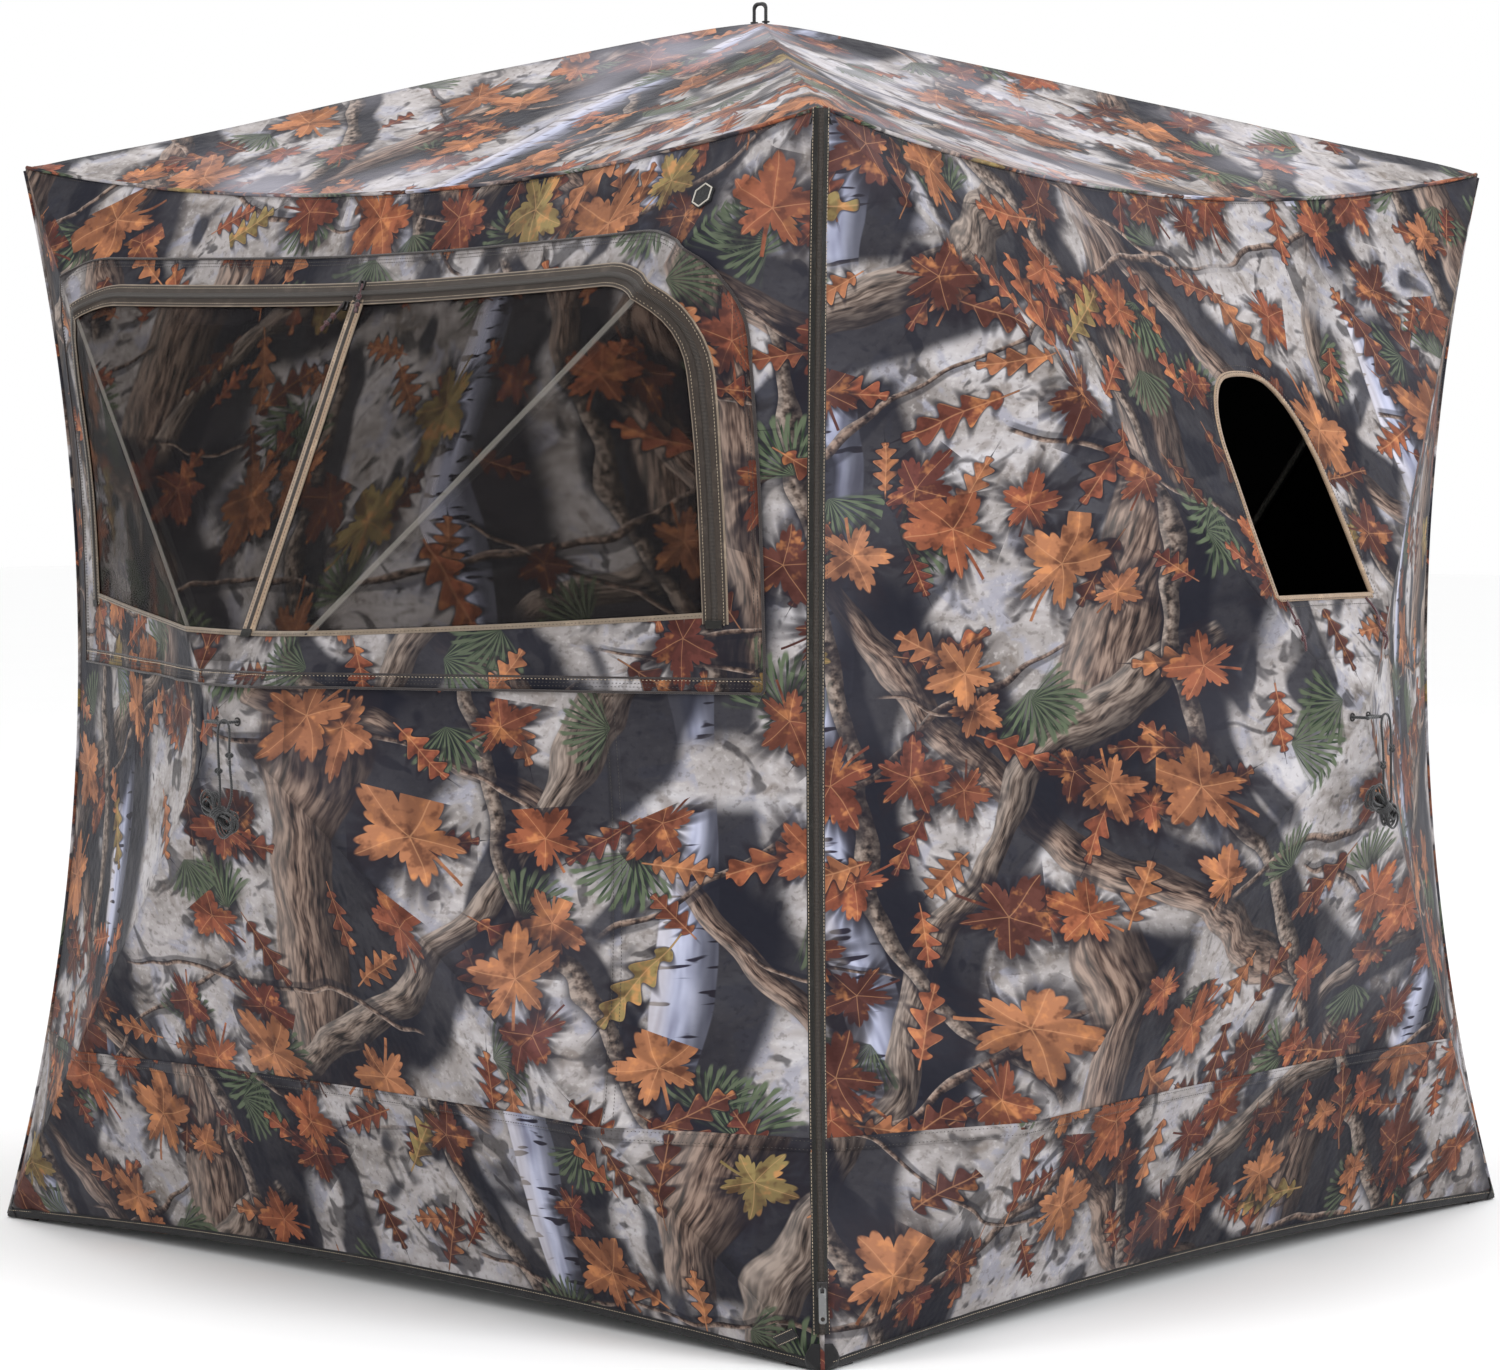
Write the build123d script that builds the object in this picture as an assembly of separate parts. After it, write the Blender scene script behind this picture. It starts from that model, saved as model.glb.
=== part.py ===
from build123d import *
import os
import math

os.makedirs("parts", exist_ok=True)

# ---------------------------------------------------------------- driving sizes (mm)
A = 750.0        # half the footprint at the ground
AT = 724.0       # half the square through the four top corners
H = 1470.0       # height of the top corners
R_APEX = 1686.0  # height of the roof's peak
HZ = 742.0       # height of a wall hub
B = 260.0        # how far a wall's peak stands out past the footprint
SV = 88.0        # inward bow of a vertical corner edge, along the diagonal
EI = 16.0        # inward bow of an eave
ED = 66.0        # downward bow of an eave
BL = 25.0        # how far the bottom edge lifts at mid wall
N = 10           # straight segments along each bowed edge
T_FAB = 1.0      # wall and roof cloth
SEAM = 1.5       # the cloths stop this far from each other at a seam

HUB_DEPTH = 30.0  # hub centre below the cloth's peak
HUB_R = 35.0
HUB_T = 14.0
PIN_AT = 27.0     # pin's distance from the hub's axis
PIN_R = 2.0
FIT = 0.05        # pin to pole eye, radial
SLOT_W = 9.0
TONGUE_W = 8.0
FERRULE_R = 6.5
ROD_R = 4.75
TIP_R = 6.5
TIP_IN = 50.0     # pole tip back from the cloth's corner, along the ridge
TIP_DEPTH = 14.0  # pole axis inside the ridge at the tip

CORD_R = 1.6
LOOP_HALF = 18.0  # half the distance between a pull loop's two holes

WIN_X = 622.0     # window cover, half width
WIN_Z0, WIN_Z1 = 786.0, 1335.0
ZIP_X, ZIP_Z0, ZIP_Z1 = 568.0, 872.0, 1284.0
OPEN_X = 528.0
ARCH_Z0, ARCH_Z1, ARCH_HALF = 893.0, 1172.0, 107.0


def V(x, y, z):
    return Vector(x, y, z)


# ---------------------------------------------------------------- the bowed edges
CHORD = math.hypot(H, (A - AT) * math.sqrt(2))
R_ARC = (CHORD * CHORD / 4 + SV * SV) / (2 * SV)
HALF_ANG = math.asin(CHORD / 2 / R_ARC)
TILT = math.atan2((A - AT) * math.sqrt(2), H)


def corner_edge(sx, sy, s):
    """Point on a vertical corner edge; s runs 0 at the ground to 1 at the top."""
    a = -HALF_ANG + 2 * HALF_ANG * s
    along = R_ARC * math.sin(a) + CHORD / 2
    inward = R_ARC * math.cos(a) - (R_ARC - SV)
    d = A * math.sqrt(2) - along * math.sin(TILT) - inward * math.cos(TILT)
    z = along * math.cos(TILT) - inward * math.sin(TILT)
    return V(sx * d / math.sqrt(2), sy * d / math.sqrt(2), z)


def eave(s):
    """Front eave, left to right."""
    k = 4 * s * (1 - s)
    return V(-AT + 2 * AT * s, -AT + EI * k, H - ED * k)


def bottom(s):
    k = 4 * s * (1 - s)
    return V(-A + 2 * A * s, -A, BL * k)


APEX = V(0, -(A + B), HZ)
ROOF_APEX = V(0, 0, R_APEX)


def ring_front():
    """Edge points of the front wall, once round from the bottom left corner."""
    pts = [bottom(i / N) for i in range(N)]
    pts += [corner_edge(1, -1, i / N) for i in range(N)]
    pts += [eave(1 - i / N) for i in range(N)]
    pts += [corner_edge(-1, -1, 1 - i / N) for i in range(N)]
    return pts


def fan(ring, apex, out, thick, inset=None):
    """A closed fan of triangles from the apex to the ring, given thickness along -out."""
    back = out * (-thick)
    faces = []
    n = len(ring)
    for i in range(n):
        p, q = ring[i], ring[(i + 1) % n]
        faces.append(Face(Wire.make_polygon([apex, p, q], close=True)))
        faces.append(Face(Wire.make_polygon([apex + back, q + back, p + back], close=True)))
        faces.append(Face(Wire.make_polygon([p, p + back, q + back, q], close=True)))
    s = Solid(Shell(faces))
    if s.volume < 0:
        s = Solid(Shell([Face(-f) for f in faces]))
    return s


OUT_F = V(0, -1, 0)


def front_layer(offset, thick):
    """The front wall's shape moved out by offset, with the thickness inward from there."""
    ring = []
    for p in ring_front():
        x = max(-1e9, min(1e9, p.X))
        # the side edges stop short of the seam
        ring.append(V(x, p.Y - offset, p.Z))
    return fan(ring, APEX + OUT_F * offset, OUT_F, thick)


def trimmed_wall():
    """The wall cloth, with its two upright edges stopped short of the seam."""
    ring = []
    for p in ring_front():
        shift = 0.0
        on_corner = abs(abs(p.X) - abs(p.Y)) < 1e-6
        if on_corner:
            shift = -SEAM if p.X > 0 else SEAM
        ring.append(V(p.X + shift, p.Y, p.Z))
    return fan(ring, APEX, OUT_F, T_FAB)


def prism_y(points, y0=-1100.0, y1=-600.0):
    """Outline in X and Z, run along Y."""
    pts = [V(x, y0, z) for x, z in points]
    face = Face(Wire.make_polygon(pts, close=True))
    return extrude(face, amount=y1 - y0, dir=(0, 1, 0))


def arc_pts(cx, cz, r, a0, a1, n=6):
    return [(cx + r * math.cos(math.radians(a0 + (a1 - a0) * i / n)),
             cz + r * math.sin(math.radians(a0 + (a1 - a0) * i / n))) for i in range(n + 1)]


def window_outline(half, z0, z1, r, sag=0.0, dip=0.0):
    """Flat bottomed outline with round top corners; the top sags and the bottom dips at mid width."""
    pts = [(-half, z0 + dip), (0, z0), (half, z0 + dip)] if dip else [(-half, z0), (half, z0)]
    pts += arc_pts(half - r, z1 - r, r, 0, 90)
    if sag:
        pts += [(half * 0.45, z1 - sag * 0.75), (0, z1 - sag), (-half * 0.45, z1 - sag * 0.75)]
    pts += arc_pts(-half + r, z1 - r, r, 90, 180)
    return pts


def arch_outline(grow=0.0):
    h, z0, z1 = ARCH_HALF + grow, ARCH_Z0 - grow, ARCH_Z1 + grow
    right = [(h, z0), (h - 2, z0 + 90), (h - 6, z0 + 170), (h - 15, z0 + 214), (h - 33, z0 + 248),
             (h - 56, z1 - 8), (h - 84, z1)]
    return right + [(-x, z) for x, z in reversed(right)]


def turn(shape, k):
    """Front wall shape turned to wall k: 0 front, 1 right, 2 back, 3 left."""
    return shape.rotate(Axis.Z, 90 * k) if k else shape


WALLS = ["front", "right", "back", "left"]


def save(shape, name):
    export_step(shape, "parts/" + name + ".step")


# ---------------------------------------------------------------- wall cloths
def loop_holes():
    tools = []
    for s in (-1, 1):
        c = Cylinder(4.5, 200).rotate(Axis.X, 90)
        tools.append(c.translate(V(s * LOOP_HALF, -(A + B), HZ)))
    return tools


wall = trimmed_wall()
for t in loop_holes():
    wall = wall - t
wall = wall.solids()[0]

open_out = window_outline(OPEN_X, 846.0, 1246.0, 95.0, sag=10.0, dip=34.0)
front = (wall - prism_y(open_out)).solids()[0]
arched = (wall - prism_y(arch_outline())).solids()[0]
save(front, "wall_front_cloth")
save(turn(arched, 1), "wall_right_cloth")
save(turn(wall, 2), "wall_back_cloth")
save(turn(wall, 3), "wall_left_cloth")


# ---------------------------------------------------------------- roof cloth
def roof_cloth():
    ring = []
    for k in range(4):
        for i in range(N):
            p = eave(i / N)
            x, y = p.X, p.Y + SEAM
            if i == 0:
                x = -(AT - SEAM)
            c, s = [(1, 0), (0, 1), (-1, 0), (0, -1)][k]
            ring.append(V(x * c - y * s, x * s + y * c, p.Z))
    return fan(ring, ROOF_APEX, V(0, 0, 1), T_FAB)


roof = roof_cloth()
for s in (-1, 1):
    roof = roof - Cylinder(4.5, 200).translate(V(s * LOOP_HALF * 0.6, 0, R_APEX))
roof = roof.solids()[0]
save(roof, "roof_cloth")


# ---------------------------------------------------------------- hubs, pins and poles
def unit(v):
    return v / v.length


def pole_frame(o, n, corner, apex):
    """Pin point, pole direction, in-plane direction and pin axis for one pole."""
    ridge = unit(apex - corner)
    tip = corner + ridge * TIP_IN - n * TIP_DEPTH
    flat = tip - o
    flat = flat - n * flat.dot(n)
    u = unit(flat)
    pin = o + u * PIN_AT
    d = unit(tip - pin)
    axis = unit(n.cross(u))
    return pin, d, u, axis, tip


def oriented(shape, origin, z_dir, x_dir):
    pl = Plane(origin=origin, x_dir=x_dir, z_dir=z_dir)
    return pl.location * shape


def hub_body(o, n, frames):
    body = oriented(Cylinder(HUB_R, HUB_T), o, n, frames[0][2])
    body = body + oriented(Cylinder(14, HUB_T + 8), o, n, frames[0][2])
    for pin, d, u, axis, tip in frames:
        # slot, open at the rim, right through the hub
        slot = Box(40, SLOT_W, HUB_T + 30)
        slot = oriented(slot, o + u * (PIN_AT - 11 + 20), n, u)
        body = body - slot
        body = body - oriented(Cylinder(PIN_R, 60), pin, axis, u)
    # the slots have removed the pin holes' middle only; each ear keeps its hole
    return body


def pins_of(frames):
    out = []
    for pin, d, u, axis, tip in frames:
        out.append(oriented(Cylinder(PIN_R, SLOT_W + 12), pin, axis, u))
    return Compound(children=out)


def pole(pin, d, u, axis, tip):
    length = (tip - pin).length
    z = Plane(origin=pin, x_dir=axis, z_dir=d)
    eye = Cylinder(5.5, TONGUE_W).rotate(Axis.Y, 90)
    tongue = Box(TONGUE_W, 9.0, 20).translate(V(0, 0, 10))
    ferr = Cylinder(FERRULE_R, 44).translate(V(0, 0, 14 + 22))
    rod = Cylinder(ROD_R, length - 60).translate(V(0, 0, 40 + (length - 60) / 2))
    cap = Cylinder(TIP_R, 38).translate(V(0, 0, length - 19))
    s = eye + tongue + ferr + rod + cap
    s = s - Cylinder(PIN_R + FIT, 40).rotate(Axis.Y, 90)
    s = s.solids()[0]
    s = z.location * s
    return s


def cup(pin, d, u, axis, tip):
    """A sewn pocket that takes a pole's tip."""
    z = Plane(origin=tip, x_dir=axis, z_dir=d)
    c = Cylinder(8.6, 30).translate(V(0, 0, -12))
    c = c - Cylinder(TIP_R + 0.35, 30).translate(V(0, 0, -12 - 3.0 + 0.4))
    return z.location * c.solids()[0]


def tube(points, radii, r):
    path = FilletPolyline(*points, radius=radii)
    e0 = path.edges().sort_by_distance(points[0])[0]
    start = points[0]
    d = unit(points[1] - points[0])
    prof = Plane(origin=start, z_dir=d) * Circle(r)
    return sweep(prof, path=path)


def auto_radii(points):
    out = []
    for i in range(1, len(points) - 1):
        a, b = points[i] - points[i - 1], points[i + 1] - points[i]
        turn_ang = math.acos(max(-1.0, min(1.0, unit(a).dot(unit(b)))))
        out.append(0.45 * min(a.length, b.length) / math.tan(turn_ang / 2))
    return out


corner_names = ["bl", "br", "tr", "tl"]
front_corners = {
    "bl": V(-A, -A, 0), "br": V(A, -A, 0), "tr": V(AT, -AT, H), "tl": V(-AT, -AT, H)}

O_F = V(0, -(A + B - HUB_DEPTH), HZ)
frames_f = {k: pole_frame(O_F, OUT_F, c, APEX) for k, c in front_corners.items()}
hub_f = hub_body(O_F, OUT_F, [frames_f[k] for k in corner_names])
# pull loop: a cord through two holes in the cloth
lp_y = -(A + B) - 9.0
in_y = O_F.Y - HUB_T / 2 + 3
# the loop's legs stand on the hub's middle boss
loop_pts = [V(-LOOP_HALF, in_y, HZ), V(-LOOP_HALF, lp_y, HZ), V(LOOP_HALF, lp_y, HZ), V(LOOP_HALF, in_y, HZ)]
loop_f = tube(loop_pts, [10.0, 10.0], CORD_R)
hub_f = (hub_f + loop_f).solids()[0]
pins_f = pins_of([frames_f[k] for k in corner_names])

cups_low, cups_up = [], []
for k, w in enumerate(WALLS):
    save(turn(hub_f, k), "hub_" + w)
    save(turn(pins_f, k), "hub_pins_" + w)
    for c in corner_names:
        save(turn(pole(*frames_f[c]), k), "pole_" + w + "_" + c)
        (cups_low if c[0] == "b" else cups_up).append(turn(cup(*frames_f[c]), k))

UP = V(0, 0, 1)
O_R = V(0, 0, R_APEX - HUB_DEPTH)
roof_corners = {"fl": V(-AT, -AT, H), "fr": V(AT, -AT, H), "br": V(AT, AT, H), "bl": V(-AT, AT, H)}
frames_r = {k: pole_frame(O_R, UP, c, ROOF_APEX) for k, c in roof_corners.items()}
hub_r = hub_body(O_R, UP, [frames_r[k] for k in roof_corners])
rl = LOOP_HALF * 0.6
loop_r = tube([V(-rl, 0, O_R.Z + HUB_T / 2 - 3), V(-rl, 0, R_APEX + 17), V(rl, 0, R_APEX + 17),
               V(rl, 0, O_R.Z + HUB_T / 2 - 3)], [9.6, 9.6], 2.0)
hub_r = (hub_r + loop_r).solids()[0]
save(hub_r, "hub_roof")
save(pins_of([frames_r[k] for k in roof_corners]), "hub_pins_roof")
for c in roof_corners:
    save(pole(*frames_r[c]), "pole_roof_" + c)
    cups_up.append(cup(*frames_r[c]))
save(Compound(children=cups_low), "tip_pockets_lower")
save(Compound(children=cups_up), "tip_pockets_upper")

# ---------------------------------------------------------------- tie-down ropes
n0 = -(A + B)
rope_pts = [V(15, n0 - 14, HZ - 92), V(13, n0 - 16, HZ - 45), V(8, n0 - 13, HZ + 3), V(32, n0 - 13, HZ + 4),
            V(31, n0 - 15, HZ - 42), V(35, n0 - 13, HZ - 84)]
rope_radii = auto_radii(rope_pts)
print("rope radii", [round(x, 1) for x in rope_radii])
rope_f = tube(rope_pts, rope_radii, CORD_R)
hank = Box(66, 22, 24)
hank = fillet(hank.edges(), 9.0)
hank_f = hank.rotate(Axis.Y, 32).translate(V(12, n0 - 15, HZ - 112))
for k, w in enumerate(WALLS):
    save(turn(rope_f, k), "tie_rope_" + w)
    save(turn(hank_f, k), "tie_hank_" + w)

# ---------------------------------------------------------------- hem binding
def hem_front():
    faces = []
    lo = [bottom(i / N) for i in range(N + 1)]
    rows = []
    for p in lo:
        g = unit(APEX - p)
        rows.append((p, p + g * 14.0))
    out, thick = 1.4, 1.0
    solids = []
    for i in range(N):
        (a0, a1), (b0, b1) = rows[i], rows[i + 1]
        if i == 0:
            a1 = V(max(a1.X, a0.X), a1.Y, a1.Z)
        q = [a0, b0, b1, a1]
        for tri in ((q[0], q[1], q[2]), (q[0], q[2], q[3])):
            f = Face(Wire.make_polygon([p + OUT_F * out for p in tri], close=True))
            solids.append(extrude(f, amount=thick, dir=(0, 1, 0)))
    s = solids[0]
    for t in solids[1:]:
        s = s + t
    return s.solids()[0]


def corner_patch():
    """Three-cornered reinforcing patch on the ground, inside a bottom corner."""
    c = A - 4.0
    f = Face(Wire.make_polygon([V(c, -c, 0), V(c - 56, -c, 0), V(c, -c + 56, 0)], close=True))
    return extrude(f, amount=2.0, dir=(0, 0, 1))


hem_f = hem_front()
patch = corner_patch()
save(Compound(children=[turn(hem_f, k) for k in range(4)] + [turn(patch, k) for k in range(4)]), "hem_binding")


# ---------------------------------------------------------------- window on the front wall
def band(offset, thick, outer, inner=None):
    s = front_layer(offset, thick) & prism_y(outer)
    if inner:
        s = s - prism_y(inner)
    return s.solids()[0]


mesh_out = window_outline(ZIP_X - 8, 812.0, ZIP_Z1 - 8, 118.0, sag=10.0)
save(band(1.5, 0.9, mesh_out), "window_mesh")

cover_out = window_outline(WIN_X, WIN_Z0, WIN_Z1, 130.0, sag=12.0)
cover_in = window_outline(ZIP_X - 6, 852.0, ZIP_Z1 - 6, 112.0, sag=10.0, dip=30.0)
save(band(3.0, 1.1, cover_out, cover_in), "window_border")


def strip_outline(half, z0, z1, r, w):
    return window_outline(half + w / 2, z0, z1 + w / 2, r + w / 2, sag=10.0)


zip_out = window_outline(ZIP_X + 7, ZIP_Z0, ZIP_Z1 + 7, 125.0, sag=10.0)
zip_in = window_outline(ZIP_X - 7, ZIP_Z0 - 20, ZIP_Z1 - 7, 111.0, sag=10.0)
save(band(5.0, 1.6, zip_out, zip_in), "window_zip_edge")

cz_out = [(-8, 854.0), (8, 854.0), (8, ZIP_Z1 - 10 - 12), (-8, ZIP_Z1 - 10 - 12)]
save(band(4.0, 1.6, cz_out), "window_zip_centre")


# points on the front wall's middle line above the hub
def mid_up(z, off):
    e = eave(0.5)
    t = (z - HZ) / (e.Z - HZ)
    return V(0, APEX.Y + (e.Y - APEX.Y) * t - off, z)


slope = unit(eave(0.5) - APEX)          # up the middle line
normal = V(0, -slope.Z, slope.Y)        # out of the cloth
if normal.Y > 0:
    normal = normal * -1


def block_on(x, z, off, w, h, t, r=1.2):
    b = Box(w, h, t)
    b = fillet(b.edges(), r)
    return oriented(b, mid_up(z, 0) + V(x, 0, 0) + normal * off, normal, V(1, 0, 0))


Z_J = ZIP_Z1 - 11
save(Compound(children=[block_on(-4.2, Z_J - 6, 8.4, 3.4, 5, 2.2, 0.8), block_on(4.2, Z_J - 6, 8.4, 3.4, 5, 2.2, 0.8)]), "window_zip_stops")


def slider(x, z, lean, off0=12.4):
    """Zip slider with its knotted cord pull, hanging down the cloth."""
    body = Box(9, 13, 4.4)
    body = fillet(body.edges(), 1.4)
    bail = Box(3.2, 9, 3.0).translate(V(0, 0, 3.4))
    s = body + bail
    pull = Cylinder(1.6, 40).rotate(Axis.X, 90).translate(V(0, -22, 4.2)).rotate(Axis.Z, lean)
    knot = Sphere(3.4).translate(V(0, -27, 4.2)).rotate(Axis.Z, lean)
    s = (s + pull + knot).solids()[0]
    return oriented(s, mid_up(z, 0) + V(x, 0, 0) + normal * off0, normal, V(1, 0, 0))


save(slider(9, Z_J + 6, 16), "window_slider_edge")
save(slider(-9, Z_J - 20, -34, 12.4), "window_slider_centre")

# ---------------------------------------------------------------- arch window on the right wall
roll = Cylinder(13, 190).rotate(Axis.Y, 90)
t_r = (ARCH_Z0 - 20 - HZ) / (eave(0.5).Z - HZ)
y_r = APEX.Y + (eave(0.5).Y - APEX.Y) * t_r
roll = roll.translate(V(0, y_r + 22, ARCH_Z0 - 20))
save(turn(roll, 1), "arch_flap_roll")


def toggle(s):
    b = Box(3.4, 52, 3.4).rotate(Axis.Z, s * -14 + 4)
    return oriented(b, mid_up(ARCH_Z0 - 32, 0) + V(s * 89, 0, 0) + normal * 7.5, normal, V(1, 0, 0))


save(Compound(children=[turn(toggle(-1), 1), turn(toggle(1), 1)]), "arch_ties")


# ---------------------------------------------------------------- door zip on the front right corner
DIAG = unit(V(1, -1, 0))
SIDE = unit(V(1, 1, 0))


def edge_frame(s):
    p = corner_edge(1, -1, s)
    q = corner_edge(1, -1, min(1.0, s + 1e-3))
    if s > 0.998:
        q, p2 = p, corner_edge(1, -1, s - 1e-3)
        up = unit(q - p2)
    else:
        up = unit(q - p)
    out = unit(up.cross(SIDE) * -1)
    if out.dot(DIAG) < 0:
        out = out * -1
    return p, up, out


def arc_centre():
    c = V(A, -A, 0)
    mid = (V(A, -A, 0) + V(AT, -AT, H)) / 2
    n = V(DIAG.X * math.cos(TILT), DIAG.Y * math.cos(TILT), math.sin(TILT))
    return mid + n * (R_ARC - SV)


ARC_C = arc_centre()
print("door arc centre", ARC_C, "radius", R_ARC, "half angle", math.degrees(HALF_ANG))


def arc_pt(theta_deg, r):
    """Point at radius r from the arc centre; theta measured from the low end of the edge, upwards."""
    a = -HALF_ANG + math.radians(theta_deg)
    n = V(DIAG.X * math.cos(TILT), DIAG.Y * math.cos(TILT), math.sin(TILT))
    t = V(-DIAG.X * math.sin(TILT), -DIAG.Y * math.sin(TILT), math.cos(TILT))
    return ARC_C - n * (r * math.cos(a)) + t * (r * math.sin(a))


def arc_block(th0, th1, r_in, r_out, w, steps):
    """A strip along the corner edge, bent in steps."""
    solids = None
    pts_o, pts_i = [], []
    for i in range(steps + 1):
        th = th0 + (th1 - th0) * i / steps
        pts_o.append(arc_pt(th, r_out))
        pts_i.append(arc_pt(th, r_in))
    outline = pts_o + pts_i[::-1]
    outline = [p - SIDE * (w / 2) for p in outline]
    face = Face(Wire.make_polygon(outline, close=True))
    return extrude(face, amount=w, dir=tuple(SIDE))


TH = math.degrees(2 * HALF_ANG)
TH0 = 1.3
zip_r_in = R_ARC - 6.2   # nearer the arc centre is further out of the room
zip_r_out = R_ARC - 3.4
door_zip = arc_block(TH0, TH - 0.25, zip_r_in, zip_r_out, 15.0, 24)
save(door_zip, "door_zip")

SL_TH = 1.75
sl_p = arc_pt(SL_TH, R_ARC - 9.6)
sl_n = unit(ARC_C - sl_p)
sl_up = unit(arc_pt(SL_TH + 0.2, R_ARC) - arc_pt(SL_TH, R_ARC))
sl = Box(13, 19, 5.4)
sl = fillet(sl.edges(), 1.6)
lug = Box(3.0, 8, 7).translate(V(0, 1, 5.4)) - Cylinder(1.25, 10).rotate(Axis.Y, 90).translate(V(0, 1, 6.4))
slid = (sl + lug).solids()[0]
pl = Plane(origin=sl_p, x_dir=SIDE, z_dir=sl_n)
# local y of this plane is the direction along the zip; it must point up
flip = 1.0 if pl.y_dir.Z > 0 else -1.0
save(pl.location * (slid if flip > 0 else slid.rotate(Axis.Z, 180)), "door_slider")
pull = Box(9, 42, 2.0).translate(V(0, -20, 0))
pull = fillet(pull.edges().filter_by(Axis.Z), 3.0)
pull = pull - Box(4.4, 7.0, 6).translate(V(0, -2.0, 0))
pull = pull - Cylinder(2.6, 6).translate(V(0, -35.5, 0))
bar = Cylinder(1.0, 6.0).rotate(Axis.Y, 90)
pull = pull + bar
pull = pull.solids()[0].translate(V(0, 1, 6.4))
save(pl.location * (pull if flip > 0 else pull.rotate(Axis.Z, 180)), "door_pull")
print("door slider at", sl_p, "normal", sl_n, "pull hinge", pl.from_local_coords((0, 1 * flip, 6.4)))


# ---------------------------------------------------------------- blank badge and corner tab
def on_front(x, z, off, facet_pts):
    """Plane on the front cloth through three points of a facet."""
    a, b, c = facet_pts
    n = unit((b - a).cross(c - a))
    if n.Y > 0:
        n = n * -1
    # y of the plane at x, z
    y = a.Y - (n.X * (x - a.X) + n.Z * (z - a.Z)) / n.Y
    return Plane(origin=V(x, y, z) + n * off, x_dir=unit(V(1, -n.X / n.Y, 0)), z_dir=n)


def eave_facet(x):
    i = int((x + AT) / (2 * AT) * N)
    return (APEX, eave(i / N), eave((i + 1) / N))


pb = on_front(572.0, 1372.0, 2.6, eave_facet(600.0))
hexa = RegularPolygon(18, 6)
badge = extrude(hexa, 2.2)
badge = badge.rotate(Axis.Z, 0)
save(pb.location * Location((0, 0, 0), (0, 0, -24)) * badge.solids()[0], "badge_blank")

low = (APEX, bottom(1.0), bottom(1 - 1 / N))
pt = on_front(708.0, 40.0, 3.4, low)
tag = Box(40, 14, 1.6)
tag = fillet(tag.edges().filter_by(Axis.Z), 2.0)
save(pt.location * Location((0, 0, 0), (0, 0, 26)) * tag, "corner_tab_blank")

for name, fr in [("front " + k, v) for k, v in frames_f.items()] + [("roof " + k, v) for k, v in frames_r.items()]:
    pin, d, u, axis, tip = fr
    print(name, "pin", [round(x, 2) for x in tuple(pin)], "d", [round(x, 4) for x in tuple(d)], "u", [round(x, 4) for x in tuple(u)], "axis", [round(x, 4) for x in tuple(axis)], "len", round((tip - pin).length, 1))
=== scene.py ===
import math
import bpy
import numpy as np
from mathutils import Vector, Matrix
from mathutils.geometry import delaunay_2d_cdt


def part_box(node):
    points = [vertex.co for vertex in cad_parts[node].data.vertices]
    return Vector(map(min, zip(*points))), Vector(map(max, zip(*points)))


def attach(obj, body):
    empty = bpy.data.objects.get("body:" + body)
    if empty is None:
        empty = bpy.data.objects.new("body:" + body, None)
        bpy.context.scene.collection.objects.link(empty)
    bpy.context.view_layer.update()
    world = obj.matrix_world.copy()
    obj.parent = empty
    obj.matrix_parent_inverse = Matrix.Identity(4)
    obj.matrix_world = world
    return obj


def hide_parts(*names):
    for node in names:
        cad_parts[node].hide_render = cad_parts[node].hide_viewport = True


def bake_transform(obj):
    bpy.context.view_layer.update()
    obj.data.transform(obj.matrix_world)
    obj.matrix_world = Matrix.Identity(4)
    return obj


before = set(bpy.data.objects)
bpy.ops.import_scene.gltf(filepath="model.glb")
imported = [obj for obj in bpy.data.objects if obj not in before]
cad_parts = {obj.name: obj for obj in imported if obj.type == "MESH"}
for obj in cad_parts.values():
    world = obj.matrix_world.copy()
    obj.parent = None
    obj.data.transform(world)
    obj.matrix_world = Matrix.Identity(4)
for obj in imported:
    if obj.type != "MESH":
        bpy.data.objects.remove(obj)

# ------------------------------------------------------------------ sizes, metres
A, AT, H, R_APEX, HZ, B = 0.750, 0.724, 1.470, 1.686, 0.742, 0.260
SV, EI, ED, BL = 0.088, 0.016, 0.066, 0.025
HUB_DEPTH = 0.030
WALLS = ["front", "right", "back", "left"]
CHORD = math.hypot(H, (A - AT) * math.sqrt(2))
R_ARC = (CHORD * CHORD / 4 + SV * SV) / (2 * SV)
HALF_ANG = math.asin(CHORD / 2 / R_ARC)
TILT = math.atan2((A - AT) * math.sqrt(2), H)
TRAVEL = {"wall": 0.488, "roof": 0.379}


def corner_edge(sx, sy, s):
    s = np.asarray(s, float)
    a = -HALF_ANG + 2 * HALF_ANG * s
    along = R_ARC * np.sin(a) + CHORD / 2
    inward = R_ARC * np.cos(a) - (R_ARC - SV)
    d = A * math.sqrt(2) - along * math.sin(TILT) - inward * math.cos(TILT)
    z = along * math.cos(TILT) - inward * math.sin(TILT)
    return np.stack([sx * d / math.sqrt(2), sy * d / math.sqrt(2), z], -1)


def eave(s):
    s = np.asarray(s, float)
    k = 4 * s * (1 - s)
    return np.stack([-AT + 2 * AT * s, -AT + EI * k, H - ED * k], -1)


def bottom(s):
    s = np.asarray(s, float)
    k = 4 * s * (1 - s)
    return np.stack([-A + 2 * A * s, -A + 0 * s, BL * k], -1)


def spin(p, k):
    p = np.asarray(p, float)
    c, s = [(1, 0), (0, 1), (-1, 0), (0, -1)][k % 4]
    out = p.copy()
    out[..., 0] = p[..., 0] * c - p[..., 1] * s
    out[..., 1] = p[..., 0] * s + p[..., 1] * c
    return out


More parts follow.
